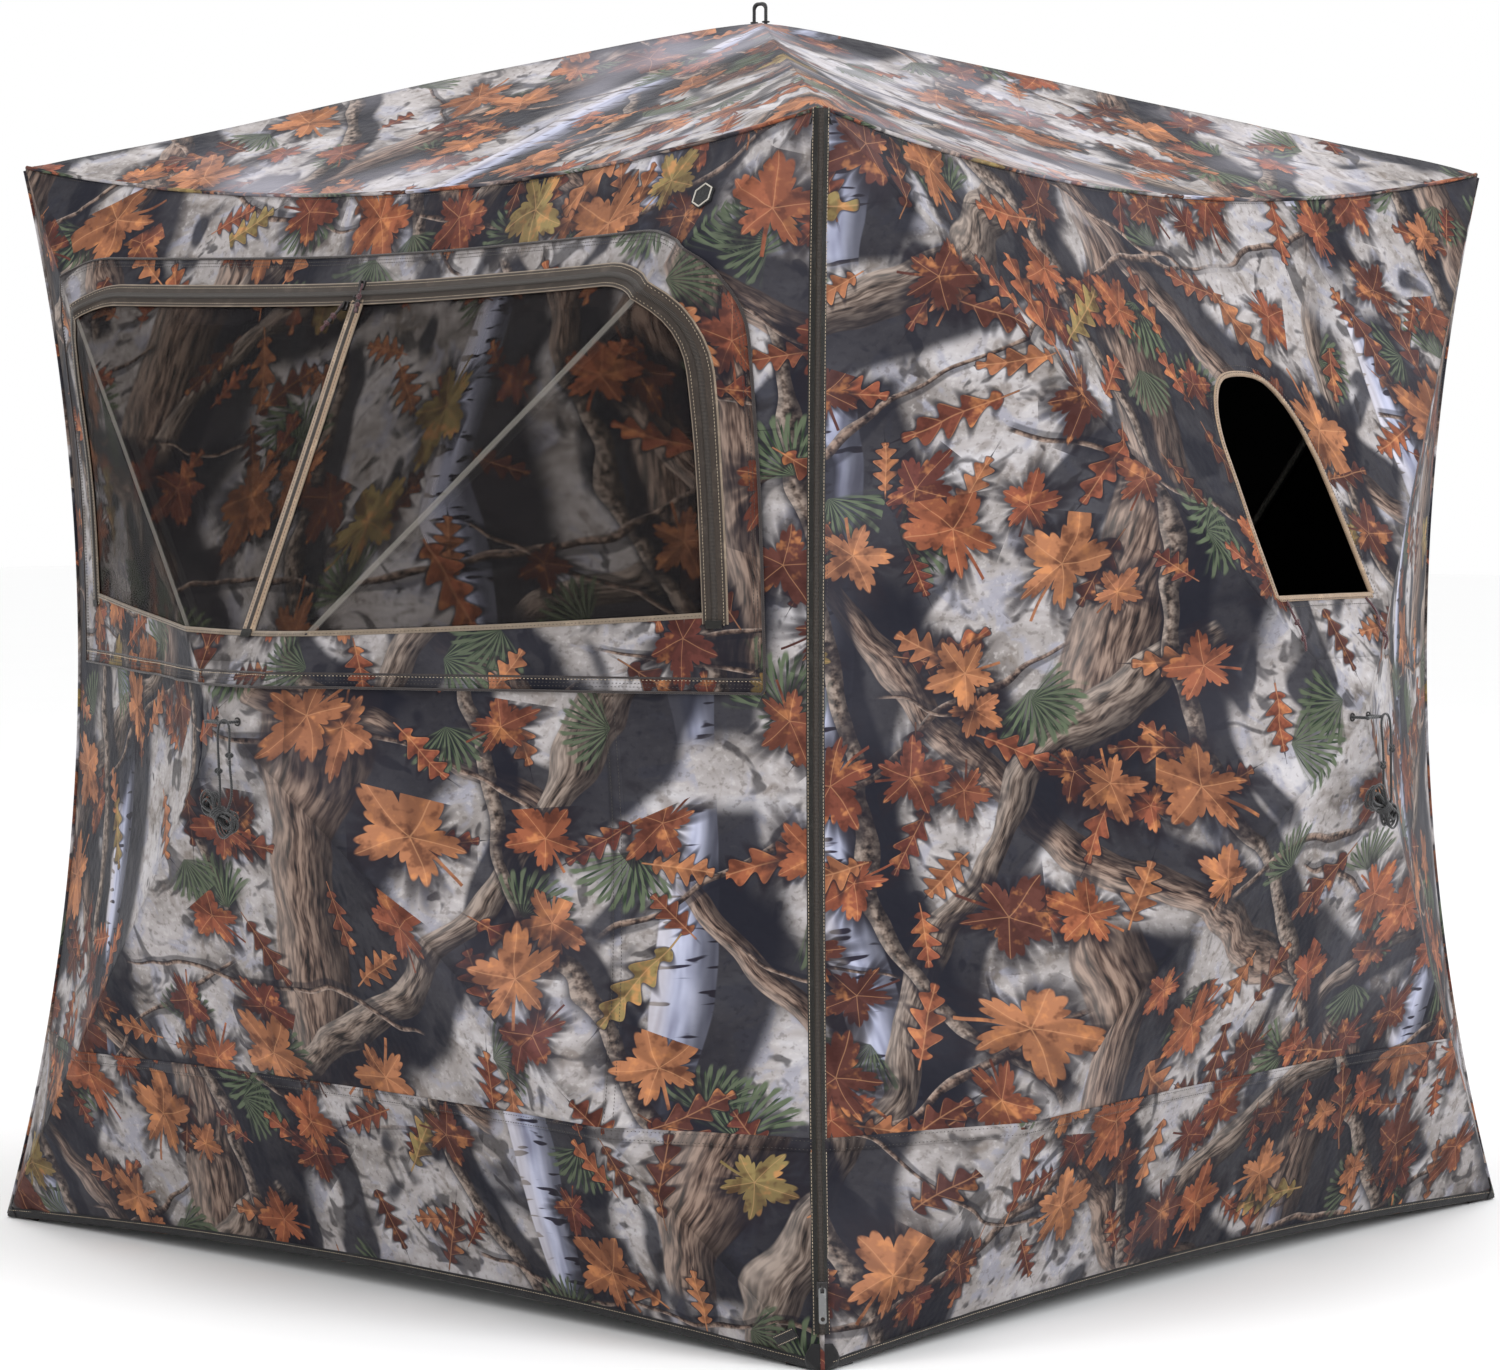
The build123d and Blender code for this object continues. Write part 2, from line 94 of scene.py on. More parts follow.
# ------------------------------------------------------------------ smooth noise with a fixed seed
class Noise:
    def __init__(self, seed):
        self.g = np.random.RandomState(seed).uniform(-1, 1, (64, 64))

    def __call__(self, x, y):
        x, y = np.asarray(x, float), np.asarray(y, float)
        xi, yi = np.floor(x).astype(int), np.floor(y).astype(int)
        fx, fy = x - xi, y - yi
        fx, fy = fx * fx * (3 - 2 * fx), fy * fy * (3 - 2 * fy)
        g = self.g
        a, b = g[xi % 64, yi % 64], g[(xi + 1) % 64, yi % 64]
        c, d = g[xi % 64, (yi + 1) % 64], g[(xi + 1) % 64, (yi + 1) % 64]
        return (a * (1 - fx) + b * fx) * (1 - fy) + (c * (1 - fx) + d * fx) * fy


def sm(x, a, b):
    t = np.clip((np.asarray(x, float) - a) / (b - a), 0, 1)
    return t * t * (3 - 2 * t)


# ------------------------------------------------------------------ a peaked panel: a wall or the roof
class Panel:
    """Cloth stretched from a bowed ring to one peak. u, v run across it and h out of it."""

    def __init__(self, name, hub_body, centre, h_apex, edges, to3d, seed, travel):
        self.name, self.body, self.c, self.ha, self.to3d = name, hub_body, np.array(centre), h_apex, to3d
        self.edges = edges           # four (n,3) arrays of u, v, h, in turn round the ring
        self.noise, self.noise2 = Noise(seed), Noise(seed + 100)
        ring = np.concatenate([e[:-1] for e in edges])
        d = ring[:, :2] - self.c
        th = np.arctan2(d[:, 1], d[:, 0])
        order = np.argsort(th)
        th, r, h = th[order], np.hypot(d[:, 0], d[:, 1])[order], ring[order, 2]
        self.th = np.concatenate([[th[-1] - 2 * math.pi], th, [th[0] + 2 * math.pi]])
        self.r = np.concatenate([[r[-1]], r, [r[0]]])
        self.h = np.concatenate([[h[-1]], h, [h[0]]])
        self.corners = np.array([e[0] for e in edges])       # corner i starts edge i
        self.cang = np.arctan2(self.corners[:, 1] - self.c[1], self.corners[:, 0] - self.c[0])
        self.ring2 = ring[:, :2]
        apex = np.array([*self.c, h_apex])
        self.axes = []
        smax = 0
        for i, e in enumerate(edges):
            c1, c2 = self.corners[i], self.corners[(i + 1) % 4]
            k = (c2 - c1) / np.linalg.norm(c2 - c1)
            d3 = (apex - c1) - k * np.dot(apex - c1, k)
            m = apex - d3
            tau = ((e - m) @ d3) / (d3 @ d3)
            smax = max(smax, tau.max())
            self.axes.append((m, d3))
        self.s0 = smax + 0.003
        self.inner = [self.c + (c[:2] - self.c) * 0.1 for c in self.corners]

    def polar(self, p):
        d = np.asarray(p, float) - self.c
        th, r = np.arctan2(d[..., 1], d[..., 0]), np.hypot(d[..., 0], d[..., 1])
        return th, r, np.interp(th, self.th, self.r), np.interp(th, self.th, self.h)

    def wrinkle(self, p):
        th, r, R, _ = self.polar(p)
        u, v = p[..., 0], p[..., 1]
        out = 0.0030 * self.noise(u / 0.33 + 7, v / 0.33 + 3) + 0.0014 * self.noise2(u / 0.13 + 9, v / 0.13 + 5)
        for i, c in enumerate(self.corners):
            dx, dy = u - c[0], v - c[1]
            rho, phi = np.hypot(dx, dy), np.arctan2(dy, dx)
            amp = (0.0042, 0.0052, 0.0050, 0.0038)[i]
            fold = np.sin(phi * (23 + 3 * i) + 2.2 * self.noise(phi * 3 + 11 * i, rho * 4)) * amp
            out = out + fold * np.exp(-rho / 0.26) * (1 - np.exp(-(rho / 0.05) ** 2)) * (0.6 + 0.4 * self.noise2(phi * 2, 3.3 * i))
        out = out + 0.0016 * np.sin(th * 13 + 1.7 * self.noise(r * 5, th)) * np.exp(-r / 0.2) * sm(r, 0.03, 0.09)
        edge = R - r
        # the seams draw the cloth up in small puckers
        along = th * R
        out = out + 0.0011 * np.sin(along / 0.021 + 3 * self.noise(along / 0.2, 1.5)) * np.exp(-edge / 0.030) * sm(edge, 0.002, 0.014)
        return out * sm(edge, 0.0, 0.035)

    def height(self, p, wrinkles=True):
        th, r, R, hr = self.polar(p)
        g = (self.ha - hr) * r / R
        c = 0.008
        h = self.ha - np.sqrt(g * g + c * c)
        h = np.where(g > 0.15, self.ha - g - c * c / (2 * np.maximum(g, 0.15)), h)
        h = self.ha - g + (h - (self.ha - g)) * sm(R - r, 0.0, 0.2)
        if wrinkles:
            h = h + self.wrinkle(np.asarray(p, float))
        return h

    def facet(self, p):
        """Which edge's facet a point is in, and whether it is in the patch by the hub."""
        th = np.arctan2(p[..., 1] - self.c[1], p[..., 0] - self.c[0])
        out = np.zeros(th.shape, int)
        for i in range(4):
            a, b = self.cang[i], self.cang[(i + 1) % 4]
            w = (b - a) % (2 * math.pi)
            out = np.where(((th - a) % (2 * math.pi)) < w, i, out)
        near = np.ones(th.shape, bool)
        for i in range(4):
            a, b = self.inner[i], self.inner[(i + 1) % 4]
            near &= ((b[0] - a[0]) * (p[..., 1] - a[1]) - (b[1] - a[1]) * (p[..., 0] - a[0])) > 0
        return out, near

    def point(self, p, off=0.0, wrinkles=True):
        p = np.asarray(p, float)
        return self.to3d(np.concatenate([p, (self.height(p, wrinkles) + off)[..., None]], -1))

    def blend(self, obj, facet, near):
        """Works out the ends of the facet's span and bakes the piece's transform into its mesh."""
        m, d = self.axes[facet]
        if near:
            s, e = 0.432, 1.0
        else:
            s = self.s0
            e = s + (0.9 - s) / 0.824
        tuple(self.to3d(m + d * s))
        tuple(self.to3d(m + d * e))
        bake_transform(obj)


def make_wall(k):
    n = 121
    t = np.linspace(0, 1, n)
    conv = lambda q: np.stack([q[:, 0], q[:, 2], -q[:, 1]], -1)
    edges = [conv(bottom(t)), conv(corner_edge(1, -1, t)), conv(eave(1 - t)), conv(corner_edge(-1, -1, 1 - t))]
    to3d = lambda q: spin(np.stack([q[..., 0], -q[..., 2], q[..., 1]], -1), k)
    return Panel(WALLS[k], "hub_" + WALLS[k], (0, HZ), A + B, edges, to3d, 11 + k, TRAVEL["wall"])


def make_roof():
    t = np.linspace(0, 1, 121)
    edges = [spin(eave(t), k) for k in range(4)]
    return Panel("roof", "hub_roof", (0, 0), R_APEX, edges, lambda q: np.asarray(q, float), 41, TRAVEL["roof"])


PANELS = {WALLS[k]: make_wall(k) for k in range(4)}
ROOF = make_roof()

# ------------------------------------------------------------------ mesh helpers
COL = bpy.context.scene.collection


def inside(poly, p):
    poly = np.asarray(poly, float)
    x, y = p[:, 0], p[:, 1]
    res = np.zeros(len(p), bool)
    j = len(poly) - 1
    for i in range(len(poly)):
        xi, yi, xj, yj = *poly[i], *poly[j]
        cond = ((yi > y) != (yj > y))
        with np.errstate(divide="ignore", invalid="ignore"):
            xx = (xj - xi) * (y - yi) / (yj - yi) + xi
        res ^= cond & (x < xx)
        j = i
    return res


def densify(poly, step, closed=True):
    poly = [np.asarray(p, float) for p in poly]
    out = []
    n = len(poly)
    for i in range(n if closed else n - 1):
        a, b = poly[i], poly[(i + 1) % n]
        m = max(1, int(math.ceil(np.linalg.norm(b - a) / step)))
        for j in range(m):
            out.append(a + (b - a) * j / m)
    if not closed:
        out.append(poly[-1])
    return np.array(out)


def triangulate(outline, holes, step, cuts=()):
    pts, edges = [], []

    def add(poly, closed):
        i0 = len(pts)
        pts.extend([tuple(p) for p in poly])
        n = len(poly)
        for i in range(n if closed else n - 1):
            edges.append((i0 + i, i0 + (i + 1) % n))
    outline = densify(outline, step)
    add(outline, True)
    holes = [densify(h, step) for h in holes]
    for h in holes:
        add(h, True)
    for c in cuts:
        add(densify(c, step, closed=False), False)
    lo, hi = outline.min(0), outline.max(0)
    gx, gy = np.meshgrid(np.arange(lo[0], hi[0], step), np.arange(lo[1], hi[1], step * 0.866), indexing="ij")
    gx = gx + (np.arange(gx.shape[1]) % 2) * step * 0.5
    grid = np.stack([gx.ravel(), gy.ravel()], -1)
    grid = grid[inside(outline, grid)]
    for h in holes:
        grid = grid[~inside(h, grid)]
    con = np.array(pts)
    # keep the grid points clear of the constraint points
    keep = np.ones(len(grid), bool)
    for i in range(0, len(con), 400):
        d = ((grid[:, None] - con[None, i:i + 400]) ** 2).sum(-1).min(1)
        keep &= d > (0.55 * step) ** 2
    grid = grid[keep]
    pts.extend([tuple(p) for p in grid])
    v, _, f, *_ = delaunay_2d_cdt([Vector(p) for p in pts], edges, [], 0, 1e-7)
    v = np.array([tuple(p) for p in v])
    f = np.array([t for t in f if len(t) == 3])
    mid = v[f].mean(1)
    ok = inside(outline, mid)
    for h in holes:
        ok &= ~inside(h, mid)
    f = f[ok]
    a, b, c = v[f[:, 0]], v[f[:, 1]], v[f[:, 2]]
    area = (b[:, 0] - a[:, 0]) * (c[:, 1] - a[:, 1]) - (b[:, 1] - a[:, 1]) * (c[:, 0] - a[:, 0])
    f = f[np.abs(area) > 1e-12]
    flip = area[np.abs(area) > 1e-12] < 0
    f[flip] = f[flip][:, ::-1]
    return v, f


def new_mesh(name, verts, faces, mats, mat_index=None, uvs=None, smooth=True):
    me = bpy.data.meshes.new(name)
    me.from_pydata([tuple(map(float, p)) for p in verts], [], [tuple(int(i) for i in f) for f in faces])
    me.update()
    for m in mats:
        me.materials.append(m)
    if mat_index is not None:
        me.polygons.foreach_set("material_index", np.asarray(mat_index, np.int32))
    if uvs is not None:
        lay = me.uv_layers.new(name="cut")
        idx = np.zeros(len(me.loops), np.int32)
        me.loops.foreach_get("vertex_index", idx)
        lay.data.foreach_set("uv", np.asarray(uvs, np.float32)[idx].ravel())
    me.polygons.foreach_set("use_smooth", np.full(len(me.polygons), bool(smooth)))
    ob = bpy.data.objects.new(name, me)
    COL.objects.link(ob)
    return ob


def two_sided(name, top, bot, tris, mats, uv, smooth=True):
    """A closed thin sheet from matching top and bottom points."""
    n = len(top)
    faces = [tuple(t) for t in tris] + [tuple(t[::-1] + n) for t in tris]
    idx = [0] * len(tris) + [1 if len(mats) > 1 else 0] * len(tris)
    e = {}
    for t in tris:
        for a, b in ((t[0], t[1]), (t[1], t[2]), (t[2], t[0])):
            e[(a, b)] = True
    for (a, b) in list(e):
        if (b, a) not in e:
            faces.append((a, a + n, b + n, b))
            idx.append(0)
    ob = new_mesh(name, np.concatenate([top, bot]), faces, mats, idx, np.concatenate([uv, uv]), smooth)
    me = ob.data
    return ob


PIECES = []
SPLIT = []


def diag_cuts(panel):
    cuts = []
    for c in panel.corners:
        cuts.append([tuple(panel.c), tuple(panel.c + (c[:2] - panel.c) * 0.9999)])
    for i in range(4):
        cuts.append([tuple(panel.inner[i]), tuple(panel.inner[(i + 1) % 4])])
    return cuts


def layer(panel, name, outline, holes, off, thick, mats, step=0.014, uv_shift=(0, 0), lift=None, sheet=None):
    """A sheet lying on a panel, cut at the pole lines into a piece for each facet, split again at the patch by the hub.
    """
    v, f = triangulate(outline, holes, step, diag_cuts(panel))
    # the cuts' stretches outside the outline carry no faces
    h = panel.height(v)
    o = np.full(len(v), off)
    if lift is not None:
        o = o + lift(v)
    top = panel.to3d(np.concatenate([v, (h + o)[:, None]], -1))
    bot = panel.to3d(np.concatenate([v, (h + o - thick)[:, None]], -1))
    uv = v + np.array(uv_shift)
    fac, near = panel.facet(v[f].mean(1))
    made = []
    for i in range(4):
        for nr in (False, True):
            sel = f[(fac == i) & (near == nr)]
            if not len(sel):
                continue
            used, inv = np.unique(sel, return_inverse=True)
            tris = inv.reshape(-1, 3)
            ob = two_sided(f"{name}_{i}{'n' if nr else ''}", top[used], bot[used], tris, mats, uv[used])
            a, b, c = top[used][tris[:, 0]], top[used][tris[:, 1]], top[used][tris[:, 2]]
            area = float(np.linalg.norm(np.cross(b - a, c - a), axis=1).sum() / 2)
            panel.blend(ob, i, nr)
            if sheet and area > 0.0005:
                span = v[used].max(0) - v[used].min(0)
                wl = (max(0.0125, float(span[0]) * 1.05), max(0.0125, float(span[1]) * 1.1))
                if area > wl[0] * wl[1]:
                    wl = (wl[0], area / wl[0] * 1.02)
                if area < 0.32 * wl[0] * wl[1]:
                    # a narrow curved band is sized as a strip as long as its longer side
                    wl = (max(0.0125, area / max(wl) * 1.05), max(wl))
            made.append(ob)
    return made


def resample(path, step, closed=False):
    p = np.asarray(path, float)
    if closed:
        p = np.concatenate([p, p[:1]])
    seg = np.linalg.norm(np.diff(p, axis=0), axis=1)
    s = np.concatenate([[0], np.cumsum(seg)])
    n = max(2, int(round(s[-1] / step)) + 1)
    t = np.linspace(0, s[-1], n)
    return np.stack([np.interp(t, s, p[:, i]) for i in range(p.shape[1])], -1), t


def strip(panel, name, path, profile, mats, step=0.006, uv_shift=(0, 0), closed=False, along_uv=True, mat_of=None, caps=True):
    """A band along a path on a panel. profile is [(across, height)], from one side to the other."""
    p, s = resample(path, step, closed)
    d = np.gradient(p, axis=0)
    d /= np.linalg.norm(d, axis=1)[:, None]
    nrm = np.stack([-d[:, 1], d[:, 0]], -1)
    prof = np.array(profile, float)
    m = len(prof)
    P = p[:, None] + nrm[:, None] * prof[None, :, 0, None]
    h = panel.height(P) + prof[None, :, 1]
    X = panel.to3d(np.concatenate([P, h[..., None]], -1))
    fac, near = panel.facet((p[1:] + p[:-1]) / 2)
    made = []
    key = fac * 2 + near
    start = 0
    runs = {}
    for i in range(len(key)):
        runs.setdefault(int(key[i]), []).append(i)
    for kk, segs in runs.items():
        verts, faces, uv, idx, vid = [], [], [], [], {}

        def vert(i, j):
            if (i, j) not in vid:
                vid[(i, j)] = len(verts)
                verts.append(X[i, j])
                uv.append((s[i] + uv_shift[0], prof[j, 0] + uv_shift[1]) if along_uv else tuple(P[i, j] + np.array(uv_shift)))
            return vid[(i, j)]
        for i in segs:
            for j in range(m - 1):
                faces.append((vert(i, j), vert(i, j + 1), vert(i + 1, j + 1), vert(i + 1, j)))
                idx.append(mat_of(j) if mat_of else 0)
        ob = new_mesh(f"{name}_{kk}", verts, [f[::-1] for f in faces], mats, idx, uv)
        panel.blend(ob, kk // 2, bool(kk % 2))
        made.append(ob)
    return made


def stitches(panel, name, path, mat, off=0.0012, pitch=0.0042, length=0.0027, width=0.0008, closed=False):
    p, s = resample(path, pitch, closed)
    d = np.gradient(p, axis=0)
    d /= np.linalg.norm(d, axis=1)[:, None]
    n = np.stack([-d[:, 1], d[:, 0]], -1)
    fac, near = panel.facet(p)
    key = fac * 2 + near
    made = []
    for kk in np.unique(key):
        sel = key == kk
        c, dd, nn = p[sel], d[sel], n[sel]
        q = []
        for a, b, o in ((-1, -1, 0), (1, -1, 0), (1, 1, 0), (-1, 1, 0)):
            pt = c + dd * a * length / 2 + nn * b * width / 2
            q.append(panel.to3d(np.concatenate([pt, (panel.height(c) + off + o)[:, None]], -1)))
        top = panel.to3d(np.concatenate([c, (panel.height(c) + off + 0.0006)[:, None]], -1))
        V = np.stack([*q, top], 1).reshape(-1, 3)
        F = []
        for i in range(len(c)):
            b = i * 5
            F += [(b, b + 1, b + 4), (b + 1, b + 2, b + 4), (b + 2, b + 3, b + 4), (b + 3, b, b + 4)]
        uv = np.repeat(c, 5, axis=0)
        ob = new_mesh(f"{name}_{kk}", V, F, [mat], None, uv, smooth=True)
        panel.blend(ob, int(kk) // 2, bool(kk % 2))
        made.append(ob)
    return made


# ------------------------------------------------------------------ shader helpers
class Tree:
    def __init__(self, tree):
        self.t = tree

    def new(self, kind, **props):
        n = self.t.nodes.new(kind)
        for k, v in props.items():
            setattr(n, k, v)
        return n

    def put(self, sock, v):
        if isinstance(v, bpy.types.NodeSocket):
            self.t.links.new(v, sock)
        elif v is not None:
            if hasattr(sock, "default_value"):
                try:
                    sock.default_value = v
                except (TypeError, ValueError):
                    sock.default_value = (*v, 1.0) if len(v) == 3 else v[:3]

    def m(self, op, a, b=None, c=None, clamp=False):
        n = self.new("ShaderNodeMath", operation=op, use_clamp=clamp)
        for i, v in enumerate((a, b, c)):
            self.put(n.inputs[i], v)
        return n.outputs[0]

    def vm(self, op, a, b=None, scale=None):
        n = self.new("ShaderNodeVectorMath", operation=op)
        self.put(n.inputs[0], a)
        if b is not None:
            self.put(n.inputs[1], b)
        if scale is not None:
            self.put(n.inputs["Scale"], scale)
        return n.outputs["Value"] if op in ("LENGTH", "DOT_PRODUCT", "DISTANCE") else n.outputs[0]

    def sep(self, v):
        n = self.new("ShaderNodeSeparateXYZ")
        self.put(n.inputs[0], v)
        return n.outputs[0], n.outputs[1], n.outputs[2]

    def comb(self, x, y, z=0.0):
        n = self.new("ShaderNodeCombineXYZ")
        self.put(n.inputs[0], x)
        self.put(n.inputs[1], y)
        self.put(n.inputs[2], z)
        return n.outputs[0]

    def ss(self, v, a, b, lo=0.0, hi=1.0):
        """Smooth step of v from a to b."""
        n = self.new("ShaderNodeMapRange", interpolation_type="SMOOTHSTEP")
        if a > b:
            a, b, lo, hi = b, a, hi, lo
        self.put(n.inputs[0], v)
        for i, x in enumerate((a, b, lo, hi)):
            self.put(n.inputs[i + 1], x)
        return n.outputs[0]

    def noise(self, vec, scale, detail=2.0, rough=0.5, dist=0.0, colour=False):
        n = self.new("ShaderNodeTexNoise", noise_dimensions="3D")
        self.put(n.inputs["Vector"], vec)
        self.put(n.inputs["Scale"], scale)
        self.put(n.inputs["Detail"], detail)
        self.put(n.inputs["Roughness"], rough)
        self.put(n.inputs["Distortion"], dist)
        return n.outputs["Color" if colour else "Fac"]

    def voro(self, vec, scale, rnd=1.0, feature="F1"):
        n = self.new("ShaderNodeTexVoronoi", voronoi_dimensions="2D", feature=feature)
        self.put(n.inputs["Vector"], vec)
        self.put(n.inputs["Scale"], scale)
        self.put(n.inputs["Randomness"], rnd)
        return n

    def mix(self, fac, a, b, mode="MIX"):
        n = self.new("ShaderNodeMix", data_type="RGBA", blend_type=mode)
        self.put(n.inputs[0], fac)
        self.put(n.inputs[6], a if isinstance(a, bpy.types.NodeSocket) else (*a, 1.0))
        self.put(n.inputs[7], b if isinstance(b, bpy.types.NodeSocket) else (*b, 1.0))
        return n.outputs[2]

    def ramp(self, v, stops, mode="LINEAR"):
        n = self.new("ShaderNodeValToRGB")
        cr = n.color_ramp
        cr.interpolation = mode
        while len(cr.elements) < len(stops):
            cr.elements.new(0.5)
        for e, (p, c) in zip(cr.elements, stops):
            e.position = p
            e.color = (*c, 1.0)
        self.put(n.inputs[0], v)
        return n.outputs[0]

    def rot(self, x, y, ang):
        """x, y turned by an angle: a number or a socket."""
        if isinstance(ang, (int, float)):
            c, s = math.cos(ang), math.sin(ang)
        else:
            c, s = self.m("COSINE", ang), self.m("SINE", ang)
        return (self.m("ADD", self.m("MULTIPLY", x, c), self.m("MULTIPLY", y, s)),
                self.m("SUBTRACT", self.m("MULTIPLY", y, c), self.m("MULTIPLY", x, s)))


def srgb(r, g, b):
    f = lambda c: c / 12.92 if c <= 0.04045 else ((c + 0.055) / 1.055) ** 2.4
    return (f(r / 255), f(g / 255), f(b / 255))


# ------------------------------------------------------------------ the woodland print, drawn by rule on a plane in metres
def build_print():
    g = bpy.data.node_groups.new("woodland_print", "ShaderNodeTree")
    g.interface.new_socket("Vector", in_out="INPUT", socket_type="NodeSocketVector")
    g.interface.new_socket("Colour", in_out="OUTPUT", socket_type="NodeSocketColor")
    g.interface.new_socket("Height", in_out="OUTPUT", socket_type="NodeSocketFloat")
    t = Tree(g)
    gi = t.new("NodeGroupInput")
    go = t.new("NodeGroupOutput")
    vec = gi.outputs[0]
    x, y, _ = t.sep(vec)
    warp = t.noise(vec, 5.0, 2.0, 0.5, 0.0, colour=True)
    wx, wy, _ = t.sep(t.vm("SUBTRACT", warp, (0.5, 0.5, 0.5)))

    # ground: khaki and grey, brushed and smudged
    n1 = t.noise(t.vm("MULTIPLY", vec, (1.0, 1.7, 1.0)), 8.0, 4.0, 0.6, 0.5)
    n2 = t.noise(t.vm("ADD", vec, (5.3, 2.1, 0)), 19.0, 3.0, 0.6, 0.8)
    n3 = t.noise(t.vm("ADD", vec, (9.1, 7.7, 0)), 95.0, 2.0, 0.6)
    col = t.ramp(n1, [(0.30, srgb(100, 92, 86)), (0.42, srgb(144, 136, 128)), (0.55, srgb(168, 160, 153)), (0.68, srgb(187, 181, 176))])
    col = t.mix(t.ss(n2, 0.52, 0.64, 0, 0.7), col, srgb(146, 144, 150))
    col = t.mix(t.ss(n2, 0.44, 0.30, 0, 0.60), col, srgb(104, 91, 78))
    col = t.mix(t.ss(n3, 0.55, 0.70, 0, 0.30), col, srgb(206, 198, 188))
    col = t.mix(t.ss(n3, 0.45, 0.32, 0, 0.42), col, srgb(84, 74, 64))
    # dark, bluish shade between the things on the ground
    sh = t.noise(t.vm("ADD", t.vm("MULTIPLY", vec, (1.5, 1.0, 1.0)), (3.7, 11.9, 0)), 4.6, 2.0, 0.5, 1.0)
    col = t.mix(t.ss(sh, 0.575, 0.64, 0, 0.90), col, srgb(31, 32, 40))
    sh2 = t.noise(t.vm("ADD", vec, (13.7, 1.9, 0)), 15.0, 2.0, 0.55, 1.4)
    col = t.mix(t.ss(sh2, 0.58, 0.66, 0, 0.74), col, srgb(36, 33, 35))

    def band(col, ang, period, width, phase, gate_seed, gate, tones, bark_scale, wob=0.03, lit=0.14, dashes=None, gate_scale=2.6, cast=0.94, reach=2.4):
        """Straight growths across the print: trunks, boughs and twigs, with the shade they cast."""
        a, b = t.rot(x, y, ang)
        a = t.m("ADD", a, t.m("ADD", t.m("MULTIPLY", wx, wob * 2), t.m("MULTIPLY", t.m("SINE", t.m("MULTIPLY", b, 5.0 + 3 * phase)), wob)))
        q = t.m("DIVIDE", t.m("ADD", a, phase), period)
        cell = t.m("FLOOR", q)
        d = t.m("MULTIPLY", t.m("SUBTRACT", t.m("FRACT", q), 0.5), period)
        g1 = t.noise(t.comb(t.m("MULTIPLY", cell, 3.1), b, gate_seed + 4.0), gate_scale, 0.0)
        w = t.m("MULTIPLY", width, t.ss(g1, gate, gate + 0.25, 0.75, 1.25))
        r = t.m("DIVIDE", d, w)
        on = t.ss(g1, gate, gate + 0.03)
        mask = t.m("MULTIPLY", t.ss(t.m("ABSOLUTE", r), 1.0, 0.92), on)
        if width > 0.012:
            bark = t.noise(t.comb(t.m("MULTIPLY", a, bark_scale), t.m("MULTIPLY", b, bark_scale * 0.17), gate_seed), 1.0, 2.0, 0.68)
        else:
            bark = n3
        c = t.ramp(bark, [(0.34, tones[0]), (0.47, tones[1]), (0.62, tones[2])])
        if dashes:
            dn = t.noise(t.comb(t.m("MULTIPLY", a, 22.0), t.m("MULTIPLY", b, 95.0), gate_seed + 2), 1.0, 1.0, 0.5)
            c = t.mix(t.ss(dn, 0.60, 0.65), c, dashes)
        side = t.ss(r, -1.0, 1.0)
        c = t.mix(t.ss(side, 0.42, 1.0, 0.0, 0.80), c, srgb(28, 25, 28))
        c = t.mix(t.ss(side, 0.34, 0.0, 0.0, lit), c, srgb(214, 200, 184))
        under = t.m("MULTIPLY", t.m("MULTIPLY", t.ss(t.m("ABSOLUTE", t.m("SUBTRACT", r, 1.15)), reach, reach * 0.62), on), cast)
        return t.mix(mask, t.mix(under, col, srgb(27, 27, 34)), c)

    brown = (srgb(34, 28, 27), srgb(90, 72, 62), srgb(142, 119, 102))
    grey = (srgb(38, 33, 31), srgb(92, 78, 68), srgb(142, 125, 110))
    birch = (srgb(122, 122, 136), srgb(154, 155, 168), srgb(182, 182, 194))
    col = band(col, -0.10, 0.83, 0.052, 0.10, 1.0, 0.33, brown, 120.0, cast=0.95, reach=2.0)
    col = band(col, 0.06, 0.97, 0.030, 0.57, 3.0, 0.37, birch, 40.0, lit=0.35, dashes=srgb(44, 40, 52), wob=0.012)
    col = band(col, 0.92, 0.66, 0.021, 0.05, 5.0, 0.38, brown, 170.0, wob=0.055)
    col = band(col, -0.78, 0.59, 0.023, 0.31, 7.0, 0.39, grey, 150.0, wob=0.06)
    col = band(col, 0.42, 0.43, 0.0105, 0.17, 13.0, 0.39, grey, 220.0, wob=0.06, reach=3.0)
    col = band(col, -1.25, 0.37, 0.0042, 0.15, 9.0, 0.44, brown, 260.0, wob=0.05, lit=0.15, cast=0.6)
    col = band(col, 1.30, 0.33, 0.0034, 0.02, 11.0, 0.45, brown, 260.0, wob=0.06, lit=0.15, cast=0.6)

    def cells(scale, rnd, off):
        v = t.voro(t.vm("ADD", vec, off), scale, rnd)
        lx, ly, _ = t.sep(t.vm("SUBTRACT", t.vm("ADD", vec, off), v.outputs["Position"]))
        r_, g_, b_ = t.sep(v.outputs["Color"])
        return lx, ly, r_, g_, b_

